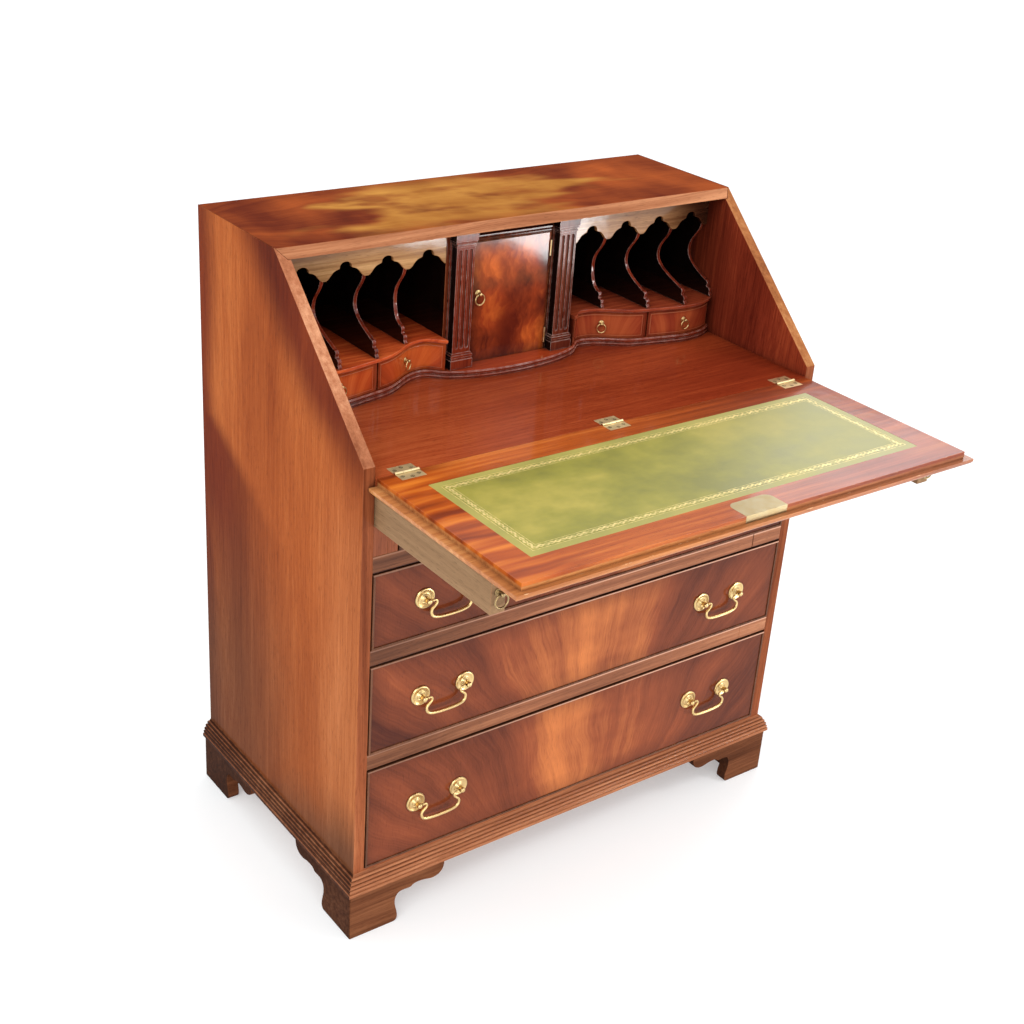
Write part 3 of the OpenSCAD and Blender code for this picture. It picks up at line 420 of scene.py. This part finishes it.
def top_finish(name):
    """Dark flame veneer with a faded golden patch in the middle of the top."""
    g = Graph(name)
    x, y, z = g.split(g.coords)[:3]
    layers = wood_layers(g, along(g, "x", 2.0))
    low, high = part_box("top_board")
    flame = crotch_colour(g, y, x, (middle("top_board").y, -0.62), 0.55, 5.0,
                          tones=(srgb(44, 14, 6), srgb(98, 36, 16), srgb(166, 80, 34)), width=0.3)
    gold = crotch_colour(g, y, x, (middle("top_board").y + 0.06, -0.9), 0.6, 9.0,
                         tones=(srgb(106, 56, 18), srgb(156, 98, 40), srgb(206, 148, 70)), width=0.4)
    # The figure runs slantwise across the board
    slant = g.math("MULTIPLY_ADD", y, 0.7, x)
    swirl = g.noise(g.join(slant, y, 3.0), (5, 12, 1), 2, 0.5)
    patch = g.math("ABSOLUTE", g.math("ADD", x, 0.05))
    patch = g.math("ADD", patch, g.math("MULTIPLY", g.math("SUBTRACT", swirl, 0.5), 0.30))
    patch = g.step(patch, 0.26, 0.12, smooth=True)
    border, _ = rim(g, x, y, (low.x, low.y), (high.x, high.y), 46 * MM)
    patch = g.math("MULTIPLY", patch, g.between(border, 1.0, 0.1))
    colour = g.mix(patch, flame, gold)
    # Red islands inside the faded patch
    island = g.noise(g.join(slant, y, 7.0), (9, 20, 1), 3, 0.5, low=0.50, high=0.66)
    colour = g.mix(g.math("MULTIPLY", island, 0.7), colour, flame)
    edge_wood = wood_colour(g, layers, MAHOGANY["rail"])
    on_top = g.step(z, TOP_Z - 1.2 * MM, TOP_Z - 0.6 * MM)
    return polish(g, g.mix(on_top, edge_wood, colour), layers, coat=0.08, coat_rough=0.14)


def fall_finish(name):
    """Tiger-striped ends inside, figured veneer on the outer face, chips along the lip."""
    g = Graph(name)
    x, y, z = g.split(g.coords)[:3]
    layers = wood_layers(g, along(g, "x", 4.0))
    grain = wood_colour(g, layers, MAHOGANY["fall"])
    redder = wood_colour(g, layers, MAHOGANY["wine"])
    far = g.step(g.math("MULTIPLY_ADD", layers["broad"], 0.2, x), -0.10, 0.42, smooth=True)
    long_grain = g.mix(g.math("MULTIPLY", far, 0.8), grain, redder)
    drift = g.noise(g.join(x, y, 2.0), (7, 7, 1), 2, low=0.0, high=1.0)
    across = g.math("MULTIPLY_ADD", drift, 0.035, y)
    stripes = g.noise(g.join(x, across, 8.0), (3, 40, 1), 2, 0.5)
    tiger = g.ramp(stripes, [(0.15, srgb(112, 40, 10)), (0.5, srgb(172, 77, 19)),
                             (0.85, srgb(212, 118, 38))])
    tiger = g.mix(g.math("MULTIPLY", layers["fibre"], 0.25), tiger, srgb(150, 62, 20))
    # The stripes fade out from each end towards the middle
    at_end = g.step(g.math("ABSOLUTE", x), LEATHER_HIGH.x - 90 * MM, LEATHER_HIGH.x + 10 * MM, smooth=True)
    inner = g.mix(g.math("MULTIPLY", at_end, g.between(far, 1.0, 0.25)), long_grain, tiger)
    outer = crotch_colour(g, x, y, (0.0, FALL_HIGH.y + 0.35), 0.5, 3.0, width=0.22)
    is_inner = g.step(z, BED_Z - 6 * MM, BED_Z - 4 * MM)
    is_outer = g.step(z, FALL_LOW.z + 1.5 * MM, FALL_LOW.z + 0.6 * MM)
    edge_wood = g.mix(far, *woods(g, layers, ("lip", "edge")))
    colour = g.mix(is_outer, g.mix(is_inner, edge_wood, inner), outer)
    chips = g.noise(g.coords, (46, 120, 120), 3, 0.5, low=0.63, high=0.66)
    chips = g.math("MULTIPLY", chips, g.edges(2.2 * MM))
    chips = g.math("MULTIPLY", chips, g.step(y, FALL_LOW.y + 14 * MM, FALL_LOW.y + 10 * MM))
    colour = g.mix(chips, colour, srgb(232, 196, 150))
    return polish(g, colour, layers, worn=0.5, sheen=0.05)


def door_finish(name):
    """Swirling flame: orange clouds round a dark tongue that rises from the foot of the door."""
    g = Graph(name)
    x, _, z = g.split(g.coords)[:3]
    low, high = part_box("cupboard_door")
    layers = wood_layers(g, along(g, "z", 6.0))
    plane = g.join(x, g.math("SUBTRACT", z, low.z), 2.6)
    cloud = g.noise(plane, (15, 11, 1), 4, 0.55, low=0.36, high=0.66)
    drawn_out = g.vector("ADD", plane, g.join(g.math("MULTIPLY", cloud, 0.03), 0.0, 0.0))
    wisp = g.noise(drawn_out, (70, 24, 1), 4, 0.6)
    total = g.math("MULTIPLY_ADD", wisp, 0.34, g.math("MULTIPLY", cloud, 0.66))
    flame = g.ramp(total, [(0.1, srgb(84, 27, 13)), (0.5, srgb(148, 58, 25)), (0.9, srgb(214, 104, 42))])
    waver = g.math("MULTIPLY", g.math("SUBTRACT", wisp, 0.5), 0.02)
    off = g.math("DIVIDE", g.math("ADD", x, waver), 24 * MM)
    tongue = g.math("EXPONENT", g.math("MULTIPLY", g.math("POWER", off, 2.0), -1.0))
    tongue = g.math("MULTIPLY", tongue, g.step(z, low.z + 0.125, low.z + 0.05, smooth=True))
    flame = g.mix(g.math("MULTIPLY", tongue, 0.8), flame, srgb(84, 22, 10))
    border, _ = rim(g, x, z, (low.x, low.z), (high.x, high.z), 22 * MM)
    flame = g.mix(g.math("MULTIPLY", border, 0.6), flame, srgb(50, 16, 9))
    return polish(g, flame, layers, coat=1.0, coat_rough=0.12)


def small_drawer_finish(name, node, seed, tones):
    """Figured front with a fine pale line inside a dark edge, pale wood behind."""
    g = Graph(name)
    x, y, z = g.split(g.coords)[:3]
    low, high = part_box(node)
    layers = wood_layers(g, along(g, "z", seed))
    focus = (middle(node).x, low.z - 0.06)
    flame = crotch_colour(g, x, z, focus, 0.4, seed, tones=tones, width=0.07)
    border, nearest = rim(g, x, z, (low.x, low.z), (high.x, high.z), 9 * MM)
    flame = g.mix(g.math("MULTIPLY", border, 0.5), flame, srgb(56, 18, 9))
    line = stripe(g, nearest, 4.2 * MM, 0.45 * MM)
    flame = g.mix(g.math("MULTIPLY", line, 0.6), flame, srgb(206, 120, 84))
    box_layers = wood_layers(g, along(g, "y", seed + 0.4))
    raw = wood_colour(g, box_layers, MAHOGANY["pine"])
    back_y = SMALL_BOX_START[node]
    inside = g.step(y, back_y, back_y + 0.1 * MM)
    material = polish(g, g.mix(inside, flame, raw), layers, coat_rough=0.06)
    g.put(g.shader.inputs["Coat Weight"], g.between(inside, 0.9, 0.0))
    return material


def valance_finish(name):
    """Golden wood, its paleness partly a painted reflection, with painted shade towards the walls, most at
    the right.
    """
    g = Graph(name)
    layers = wood_layers(g, along(g, "x", 14.0))
    x = g.split(g.coords)[0]
    # Painted shade towards the walls, most at the right
    far = g.step(g.math("MULTIPLY_ADD", layers["broad"], 0.08, x), 0.26, 0.40, smooth=True)
    near = g.step(g.math("MULTIPLY_ADD", layers["broad"], 0.06, x), -0.20, -0.34, smooth=True)
    far = g.math("MULTIPLY_ADD", near, 0.5, far)
    return polish(g, g.mix(far, *woods(g, layers, ("gold", "shade"))), layers, coat=1.0)


def graded(name, left, right, start, end, seed, wander=0.0, shares=(0.45, 0.4), **finish):
    """Straight-grained wood that changes from one tone to another between two places along X."""
    g = Graph(name)
    layers = wood_layers(g, along(g, "x", seed))
    x = g.split(g.coords)[0]
    far = g.step(g.math("MULTIPLY_ADD", layers["broad"], wander, x), start, end, smooth=True)
    return polish(g, g.mix(far, *woods(g, layers, (left, right), *shares)), layers, **finish)


def lit_and_shaded(name, flat, other, axis, low, high, grain, seed, **finish):
    """A lit and a shaded tone of one wood, painted light and shade by the way a surface faces: the second
    where the surface faces an axis by less than low.
    """
    g = Graph(name)
    layers = wood_layers(g, along(g, grain, seed))
    turn = g.math("ABSOLUTE", g.facing()["xyz".index(axis)])
    colour = g.mix(g.step(turn, high, low), *woods(g, layers, (flat, other)))
    return polish(g, colour, layers, **finish)


def back_finish(name):
    """Aged pine outside, and near black where it shows inside the gallery: painted shade."""
    g = Graph(name)
    layers = wood_layers(g, along(g, "z", 11.0), 0.02)
    inner_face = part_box("back_boards")[0].y
    front = g.step(g.split(g.coords)[1], inner_face + 0.9 * MM, inner_face + 0.5 * MM)
    colour = g.mix(front, *woods(g, layers, ("pine", "inner_shade")))
    return polish(g, colour, layers, rough=0.6, coat=0.05, coat_rough=0.4)


# ------------------------------------------------------------------ leather and brass

# Gilt scrolls: their length, their swing to each side and their middle's distance from the hide's edge
SCROLL_PITCH, SCROLL_SWING, SCROLL_INSET = 17 * MM, 2.1 * MM, 17.8 * MM


def leather_finish(name):
    """Olive hide with a grained surface, paler to the right in a painted sheen, and a gilt tooled border.
    """
    g = Graph(name)
    x, y = g.split(g.coords)[:2]
    pebble = g.add("ShaderNodeTexVoronoi", {"Vector": g.coords, "Scale": 620.0}, feature="F1")
    pebble = pebble.outputs["Distance"]
    cloud = g.noise(g.coords, (7, 9, 7), 4, 0.6)
    # Painted sheen: the hide paler towards the right
    painted_sheen = g.step(x, -0.1, 0.34, smooth=True)
    hide = g.ramp(cloud, [(0.15, srgb(116, 114, 20)), (0.5, srgb(140, 134, 32)),
                          (0.85, srgb(166, 152, 54))])
    hide = g.mix(g.math("MULTIPLY", painted_sheen, 0.5), hide, srgb(140, 136, 72))
    low, high = (LEATHER_LOW.x, LEATHER_LOW.y), (LEATHER_HIGH.x, LEATHER_HIGH.y)
    _, nearest = rim(g, x, y, low, high, 30 * MM)
    margin = g.step(nearest, 12.5 * MM, 11.5 * MM)
    hide = g.mix(g.math("MULTIPLY", margin, 0.45), hide, srgb(168, 158, 84))
    gilt = tooling(g, x, y, nearest)
    wear = g.noise(g.coords, (160, 160, 160), 3, low=0.38, high=0.55)
    gilt = g.math("MULTIPLY", gilt, g.between(wear, 0.3, 1.0))
    g.put(g.shader.inputs["Base Color"], g.mix(gilt, hide, srgb(236, 214, 142)))
    g.put(g.shader.inputs["Metallic"], g.math("MULTIPLY", gilt, 0.7))
    g.put(g.shader.inputs["Roughness"], g.between(cloud, 0.36, 0.50))
    g.shader.inputs["Coat Weight"].default_value = 0.25
    g.shader.inputs["Coat Roughness"].default_value = 0.28
    height = g.math("MULTIPLY_ADD", gilt, -2.5, pebble)
    g.put(g.shader.inputs["Normal"], g.bump(height, 0.10 * MM, 0.7))
    return g.material


def tooling(g, x, y, nearest):
    """A chain of small scrolls between two fine lines, all along the border."""
    along_x = g.math("SUBTRACT", g.math("ABSOLUTE", x), LEATHER_HIGH.x)
    mid_y = (LEATHER_LOW.y + LEATHER_HIGH.y) / 2
    along_y = g.math("SUBTRACT", g.math("ABSOLUTE", g.math("SUBTRACT", y, mid_y)), LEATHER_HIGH.y - mid_y)
    on_end = g.math("GREATER_THAN", along_x, along_y)
    run = g.add("ShaderNodeMapRange", {0: on_end, 3: x, 4: y}).outputs[0]
    outer_line = stripe(g, nearest, 12.0 * MM, 0.5 * MM)
    inner_line = stripe(g, nearest, 23.5 * MM, 0.4 * MM)
    gilt = g.math("MAXIMUM", outer_line, inner_line)
    wave = g.math("SINE", g.math("MULTIPLY", run, 2 * math.pi / SCROLL_PITCH))
    for swing, half in ((SCROLL_SWING, 1.5 * MM), (-SCROLL_SWING, 0.9 * MM)):
        centre = g.math("MULTIPLY_ADD", wave, swing, SCROLL_INSET)
        scroll = stripe(g, g.math("SUBTRACT", nearest, centre), 0.0, half)
        gilt = g.math("MAXIMUM", gilt, scroll)
    return gilt


def stripe(g, value, centre, half):
    """1 within half a width of a centre, with a soft border."""
    off = g.math("ABSOLUTE", g.math("SUBTRACT", value, centre))
    return g.step(off, half * 1.4, half * 0.6)


# X of the outer hinges, the screws' places in mm from a hinge's middle and from its pin, and the
# screw heads' radius
HINGE_X = 0.35
HINGE_SCREWS = ((0.0, 14.5), (12.5, 10.0))
SCREW_RADIUS = 2.4 * MM


def screw_rims(g):
    """1 in the joint round each screw head of the three hinges and in its slot, 0 elsewhere."""
    x, y = g.split(g.coords)[:2]
    outer = g.math("ABSOLUTE", g.math("SUBTRACT", g.math("ABSOLUTE", x), HINGE_X))
    run = g.math("MINIMUM", outer, g.math("ABSOLUTE", x))
    reach = g.math("ABSOLUTE", g.math("SUBTRACT", y, joint_of("fall")["pos_m"][1]))
    rims = 0.0
    for along_hinge, from_pin in HINGE_SCREWS:
        dx = g.math("SUBTRACT", run, along_hinge * MM)
        dy = g.math("SUBTRACT", reach, from_pin * MM)
        off = g.math("SQRT", g.math("ADD", g.math("MULTIPLY", dx, dx), g.math("MULTIPLY", dy, dy)))
        slot = g.math("MULTIPLY", stripe(g, dx, 0.0, 0.35 * MM), g.step(off, 2.2 * MM, 2.0 * MM))
        rims = g.math("MAXIMUM", g.math("MAXIMUM", slot, stripe(g, off, SCREW_RADIUS, 0.35 * MM)), rims)
    return rims


def brass_finish(name, tone=(222, 192, 136), rough=0.24, age=0.7, grime=None):
    g = Graph(name)
    stain = g.noise(g.coords, (70, 70, 70), 4, 0.6)
    bright = g.mix(g.math("MULTIPLY", stain, 0.3), srgb(*tone), srgb(190, 156, 88))
    colour = g.mix(g.math("MULTIPLY", g.hollows(5 * MM), age), bright, srgb(74, 48, 20))
    if grime:
        colour = g.mix(grime(g), colour, srgb(58, 38, 18))
    g.put(g.shader.inputs["Base Color"], colour)
    g.shader.inputs["Metallic"].default_value = 1.0
    g.put(g.shader.inputs["Roughness"], g.between(stain, rough, rough + 0.16))
    scratches = g.noise(g.coords, (900, 260, 900), 2, low=0.0, high=1.0)
    g.put(g.shader.inputs["Normal"], g.bump(scratches, 0.01 * MM, 0.4))
    return g.material


# ------------------------------------------------------------------ CAD nodes

MERGE_DISTANCE = 0.004 * MM
FLAT_ANGLE, HARD_ANGLE = math.radians(0.4), math.radians(32)


def soften(node, width):
    """Rounds a CAD node's hard edges a little and shades it smoothly. Its mesh stays as it is."""
    piece = frame["nodes"][node]
    normals = piece.data.attributes.get("custom_normal")
    if normals:
        piece.data.attributes.remove(normals)
    for polygon in piece.data.polygons:
        polygon.use_smooth = True
    weld = piece.modifiers.new("weld", "WELD")
    weld.merge_threshold = MERGE_DISTANCE
    flat = piece.modifiers.new("flat", "DECIMATE")
    flat.decimate_type = "DISSOLVE"
    flat.angle_limit = FLAT_ANGLE
    bevel = piece.modifiers.new("bevel", "BEVEL")
    bevel.width = width
    bevel.segments = 2
    bevel.limit_method = "ANGLE"
    bevel.angle_limit = HARD_ANGLE
    bevel.use_clamp_overlap = True
    piece.modifiers.new("normals", "WEIGHTED_NORMAL")
    return piece


def dress(node, material, width=0.7 * MM):
    piece = soften(node, width)
    piece.data.materials.clear()
    piece.data.materials.append(material)
    return piece


def dress_all():
    for k, node in enumerate(("side_left", "side_right")):
        dress(node, side_finish(node + "_wood", node, 1.0 + k), 1.2 * MM)
    dress("top_board", top_finish("top_wood"), 1.2 * MM)
    dress("back_boards", back_finish("back_wood"))
    dress("bottom_board", plain_wood("bottom_wood", "brown", "x", 3.3))
    # Painted shade on the writing bed towards the right, where the gallery's right wall shades it
    bed = graded("bed_wood", "bed", "bed_shade", -0.25, 0.42, 5.1, 0.25, (0.6, 0.18), worn=0.2)
    dress("writing_bed", bed)
    upright = plain_wood("upright_wood", "brown", "z", 8.3)
    dress("drawer_dividers", rail_finish("rail_wood"))
    dress("loper_dividers", upright)
    # Painted shade on the moulding's faces that look sideways
    moulding = lit_and_shaded("moulding_wood", "shade", "rail", "x", 0.35, 0.5, "x", 9.2, coat=0.15, dirt=0.3)
    dress("base_moulding", moulding, 0.6 * MM)
    # Painted shade on the feet's faces that look sideways
    feet = lit_and_shaded("feet_wood", "umber", "foot", "x", 0.5, 0.7, "x", 9.9, coat=0.08)
    dress("bracket_feet", feet, 1.2 * MM)
    # Painted light on the plinth's upper faces, painted shade on its nosing, silvery painted highlights
    # along its edges
    gallery = lit_and_shaded("gallery_wood", "ledge", "wine", "z", 0.5, 0.8, "x", 12.0, coat=0.9, coat_rough=0.07,
                       worn=1.0, rub=SILVERY_GLINT)
    # Silvery painted highlights along the shelves' edges
    shelf = graded("shelf_wood", "shelf", "wall", -0.15, 0.2, 12.5, coat=0.8, rub=SILVERY_GLINT)
    # Painted shade, near black, on the cupboard frame's faces that look sideways
    frame_wood = lit_and_shaded("frame_wood", "inner_shade", "dark", "x", 0.7, 0.9, "z", 13.5, coat=0.6, worn=0.9)
    dress("gallery_plinth", gallery, 0.5 * MM)
    dress("gallery_shelves", shelf, 0.5 * MM)
    # Painted shade, near black, on the partitions' faces that look sideways into the pigeonholes
    partition = lit_and_shaded("partition_wood", "inner_shade", "wine", "x", 0.7, 0.9, "z", 13.2, coat=0.3)
    dress("gallery_partitions", partition)
    # Painted shade, near black, on the dividers' sideways faces, and silvery painted highlights along their
    # edges
    divider = lit_and_shaded("divider_wood", "inner_shade", "wine", "x", 0.7, 0.9, "z", 13.0, coat=1.0, coat_rough=0.07,
                       worn=1.0, rub=SILVERY_GLINT)
    dress("pigeonhole_dividers", divider, 1.2 * MM)
    dress("cupboard_frame", frame_wood, 0.5 * MM)
    dress("valances", valance_finish("valance_wood"), 0.8 * MM)
    dress("fall_panel", fall_finish("fall_wood"), 0.8 * MM)
    dress("writing_leather", leather_finish("green_hide"), 0.3 * MM)
    for node in ("loper_left", "loper_right"):
        dull = plain_wood(node + "_wood", "dull", "y", 15.0, rough=0.55, coat=0.1, coat_rough=0.3)
        dress(node, dull)
    # Each drawer's flame has its own place, width and brightness
    flames = ((0.02, 0.12, 0.6), (0.05, 0.13, 0.5), (0.03, 0.13, 1.0), (0.02, 0.15, 0.8))
    for k, (node, (focus, width, glow)) in enumerate(zip(DRAWERS, flames)):
        veneer = drawer_finish(node + "_wood", node, 20.0 + k, focus, width, glow)
        dress(node, veneer, 0.6 * MM)
    # Lit and shaded copies of one figure: the first two small drawers lighter, painted light, the last two
    # ruddier and darker, painted shade
    bright = (srgb(106, 33, 13), srgb(178, 70, 29), srgb(234, 124, 58))
    ruddy_shaded = (srgb(76, 24, 14), srgb(140, 54, 32), srgb(200, 104, 58))
    for k, (node, tones) in enumerate(zip(SMALL_DRAWERS, (bright, bright, ruddy_shaded, ruddy_shaded))):
        front = small_drawer_finish(node + "_wood", node, 30.0 + k, tones)
        dress(node, front, 0.5 * MM)
    dress("cupboard_door", door_finish("door_wood"), 0.6 * MM)
    # Painted shade, near black, on the document boxes' sideways faces, and silvery painted highlights along
    # their edges
    for node, tones in (("document_box_left", "wine"), ("document_box_right", "plum")):
        box_wood = lit_and_shaded(node + "_wood", "inner_shade", tones, "x", 0.7, 0.9, "z", 16.0,
                            coat=0.45, coat_rough=0.14, worn=1.0, rub=SILVERY_GLINT)
        dress(node, box_wood, 0.4 * MM)
    brass = brass_finish("cast_brass")
    dull_brass = brass_finish("dull_brass", (150, 128, 96), 0.34, 0.8)
    plate = brass_finish("sheet_brass", (164, 150, 118), 0.32, 0.7)
    for node in frame["nodes"]:
        if node.startswith(("handle_posts", "bail", "small_boss", "small_ring")):
            dress(node, brass, 0.15 * MM)
        if node.startswith(("loper_boss", "loper_ring")):
            dress(node, dull_brass, 0.15 * MM)
    for node in ("door_ring", "door_fittings"):
        dress(node, brass, 0.1 * MM)
    dress("fall_lock", plate, 0.15 * MM)
    hinge_brass = brass_finish("hinge_brass", (236, 214, 166), 0.34, 0.6, grime=screw_rims)
    for node in ("fixed_hinge_leaves", "fall_hinge_leaves"):
        dress(node, hinge_brass, 0.2 * MM)
    return brass, dull_brass


# ------------------------------------------------------------------ swept brass

def bezier(p, t):
    s = 1 - t
    return p[0] * s ** 3 + p[1] * 3 * s * s * t + p[2] * 3 * s * t * t + p[3] * t ** 3


def new_piece(name, bm):
    """A linked object with a bmesh's faces. It frees the bmesh."""
    mesh = bpy.data.meshes.new(name)
    bm.to_mesh(mesh)
    bm.free()
    piece = bpy.data.objects.new(name, mesh)
    bpy.context.scene.collection.objects.link(piece)
    return piece


def swept(name, line, radii, sides=20):
    """A closed round tube along a line of points in an XZ plane."""
    bm = bmesh.new()
    rings = []
    for k, (point, radius) in enumerate(zip(line, radii)):
        before, after = line[max(k - 1, 0)], line[min(k + 1, len(line) - 1)]
        run = (after - before).normalized()
        side = Vector((0, 1, 0))
        out = run.cross(side).normalized()
        ring = []
        for j in range(sides):
            a = 2 * math.pi * j / sides
            ring.append(bm.verts.new(point + radius * (math.cos(a) * out + math.sin(a) * side)))
        rings.append(ring)
    for a, b in zip(rings, rings[1:]):
        for j in range(sides):
            bm.faces.new((a[j], a[(j + 1) % sides], b[(j + 1) % sides], b[j]))
    bm.faces.new(rings[0][::-1])
    bm.faces.new(rings[-1])
    bmesh.ops.recalc_face_normals(bm, faces=bm.faces[:])
    for face in bm.faces:
        face.smooth = True
    return new_piece(name, bm)


def finish_brass(piece, body, brass):
    """Gives a piece its brass and lets it stand for the CAD node of the same name as its body."""
    piece.data.materials.append(brass)
    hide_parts(body)
    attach(piece, body)


# Right half of a bail's centre line in mm: X from its post towards the middle, Z from the pivot
BAIL_CURVES = (((-8, 0), (-13.5, 0.6), (-16.5, -4.5), (-11.4, -9)),
               ((-11.4, -9), (-6.8, -13), (-4, -14.6), (-5, -20)),
               ((-5, -20), (-6, -27.5), (-14, -30), (-38.5, -30)))
# Pin and collar, as distance from the post's centre line and radius in mm
BAIL_END = ((-1.5, 1.4), (-5.9, 1.4), (-6.0, 1.9), (-6.2, 2.35), (-7.9, 2.35), (-8.3, 1.9))


def post_offset():
    """Distance of a handle's posts from its middle: the rosettes' box gives it."""
    low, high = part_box("handle_posts_1")
    return high.x - (high.z - low.z) / 2 - abs(joint_of("bail_right_1")["pos_m"][0])


def bail_profile(steps=14):
    """Points and radii from the pin's end to the middle: pin, collar, thin neck, full belly."""
    points = [Vector((x, 0)) for x, _ in BAIL_END]
    radii = [radius for _, radius in BAIL_END]
    for part, curve in enumerate(BAIL_CURVES):
        knots = [Vector(p) for p in curve]
        for i in range(steps):
            t = (i + 1) / steps
            points.append(bezier(knots, t))
            s = (part + t) / len(BAIL_CURVES)
            radii.append(1.65 + 1.05 * math.sin(math.pi / 2 * s) ** 2)
    return points, radii


def make_bail(body, brass):
    pivot = Vector(joint_of(body)["pos_m"])
    points, radii = bail_profile()
    right = [pivot + Vector((post_offset() + p.x * MM, 0, p.y * MM)) for p in points]
    left = [Vector((2 * pivot.x - p.x, p.y, p.z)) for p in right[-2::-1]]
    line = right + left
    sizes = [r * MM for r in radii + radii[-2::-1]]
    finish_brass(swept(body + "_swan_neck", line, sizes), body, brass)


def make_ring(body, brass):
    """A ring pull hanging from its pivot, a little thicker at the bottom."""
    joint = joint_of(body)
    pivot, axis = Vector(joint["pos_m"]), Vector(joint["axis"]).normalized()
    low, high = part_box(body)
    minor = high.z - pivot.z
    major = (pivot.z - low.z - minor) / 2
    centre = pivot - Vector((0, 0, major))
    normal = axis.cross(Vector((0, 0, 1)))
    bm = bmesh.new()
    steps, sides = 56, 18
    rings = []
    for k in range(steps):
        a = 2 * math.pi * k / steps
        out = axis * math.sin(a) + Vector((0, 0, 1)) * math.cos(a)
        radius = minor * (0.96 + 0.04 * (1 - math.cos(a)) / 2)
        ring = [bm.verts.new(centre + out * major + radius * (
            math.cos(2 * math.pi * j / sides) * out + math.sin(2 * math.pi * j / sides) * normal))
            for j in range(sides)]
        rings.append(ring)
    for k in range(steps):
        a, b = rings[k], rings[(k + 1) % steps]
        for j in range(sides):
            bm.faces.new((a[j], a[(j + 1) % sides], b[(j + 1) % sides], b[j])).smooth = True
    bmesh.ops.recalc_face_normals(bm, faces=bm.faces[:])
    finish_brass(new_piece(body + "_cast", bm), body, brass)


# ------------------------------------------------------------------ camera, floor and light

CAMERA_AT = Vector((-1.3631, -1.6120, 1.6241))
CAMERA_AZIMUTH, CAMERA_ELEVATION, CAMERA_ROLL = -37.797, 26.461, 4.224
# Sine of the elevation where the sky's strength starts and ends its change, then the two strengths
SKY_OVERHEAD, SKY_HORIZON = (0.05, 0.75, 0.35, 1.32), (0.10, 0.20, 1.0, 0.0)


def make_camera():
    a, e, r = (math.radians(v) for v in (CAMERA_AZIMUTH, CAMERA_ELEVATION, CAMERA_ROLL))
    forward = Vector((-math.sin(a) * math.cos(e), math.cos(a) * math.cos(e), -math.sin(e)))
    right = forward.cross(Vector((0, 0, 1))).normalized()
    up = right.cross(forward)
    right, up = math.cos(r) * right + math.sin(r) * up, math.cos(r) * up - math.sin(r) * right
    camera = bpy.data.cameras.new("camera")
    camera.lens = 54.25
    camera.sensor_width = 36
    camera.clip_end = 100
    holder = bpy.data.objects.new("camera", camera)
    turn = Matrix((right, up, -forward)).transposed().to_4x4()
    holder.matrix_world = Matrix.Translation(CAMERA_AT) @ turn
    bpy.context.scene.collection.objects.link(holder)
    bpy.context.scene.camera = holder


def make_floor():
    bm = bmesh.new()
    bmesh.ops.create_grid(bm, x_segments=1, y_segments=1, size=30)
    floor = new_piece("floor", bm)
    g = Graph("floor_paper")
    g.shader.inputs["Base Color"].default_value = (0.66, 0.68, 0.69, 1)
    g.shader.inputs["Emission Color"].default_value = (1, 1, 1, 1)
    g.shader.inputs["Emission Strength"].default_value = 0.34
    g.shader.inputs["Roughness"].default_value = 0.9
    g.shader.inputs["Specular IOR Level"].default_value = 0.2
    floor.data.materials.append(g.material)


def area_light(name, at, aim, size, power, colour=(1, 1, 1)):
    lamp = bpy.data.lights.new(name, "AREA")
    lamp.shape = "RECTANGLE"
    lamp.size, lamp.size_y = size
    lamp.energy = power
    lamp.color = colour
    holder = bpy.data.objects.new(name, lamp)
    holder.location = at
    holder.rotation_euler = (Vector(aim) - Vector(at)).to_track_quat("-Z", "Y").to_euler()
    bpy.context.scene.collection.objects.link(holder)
    return holder


def make_sky():
    """White overhead and along the horizon, and dim between, so that polished tops keep their colour.
    The same from every camera: strength depends on the direction's height alone."""
    world = bpy.data.worlds.new("studio")
    world.use_nodes = True
    tree = world.node_tree
    direction = tree.nodes.new("ShaderNodeTexCoord").outputs["Generated"]
    height = tree.nodes.new("ShaderNodeSeparateXYZ")
    tree.links.new(direction, height.inputs[0])
    brighter = tree.nodes.new("ShaderNodeMath")
    brighter.operation = "MAXIMUM"
    for k, (start, end, low, high) in enumerate((SKY_OVERHEAD, SKY_HORIZON)):
        strength = tree.nodes.new("ShaderNodeMapRange")
        strength.interpolation_type = "SMOOTHSTEP"
        tree.links.new(height.outputs["Z"], strength.inputs["Value"])
        for socket, value in zip(strength.inputs[1:5], (start, end, low, high)):
            socket.default_value = value
        tree.links.new(strength.outputs[0], brighter.inputs[k])
    background = tree.nodes["Background"]
    background.inputs["Color"].default_value = (1, 1, 1, 1)
    tree.links.new(brighter.outputs[0], background.inputs["Strength"])
    bpy.context.scene.world = world


def make_light():
    make_sky()
    area_light("key", (-2.8, -1.6, 2.9), (0, 0.1, 0.5), (1.8, 1.8), 46, (1.0, 0.98, 0.95))
    area_light("fill_front", (-1.3, -2.9, 0.45), (0, 0.0, 0.35), (1.4, 0.8), 24)
    # A lamp high on the right, which rounded edges and mouldings mirror as fine bright lines
    area_light("lamp", (1.5, -1.4, 2.1), (0, 0.1, 0.8), (0.6, 0.6), 12)
    # A window far behind, which the open fall mirrors at its right end
    area_light("window", (2.66, 1.34, 2.21), (0.3, -0.25, 0.76), (1.1, 0.7), 11, (0.97, 0.98, 1.0))
    # A low bright card in front, which the cupboard door mirrors over the fall
    area_light("card", (1.6, -2.0, 0.30), (0.0, 0.19, 0.9), (0.6, 0.5), 16)
    bpy.context.scene.view_settings.view_transform = "Standard"


make_camera()
make_floor()
make_light()
BRASS, DULL_BRASS = dress_all()
for joint in frame["joints"]:
    if joint["child"].startswith("bail"):
        make_bail(joint["child"], BRASS)
    elif "ring" in joint["child"]:
        make_ring(joint["child"], DULL_BRASS if joint["child"].startswith("loper") else BRASS)
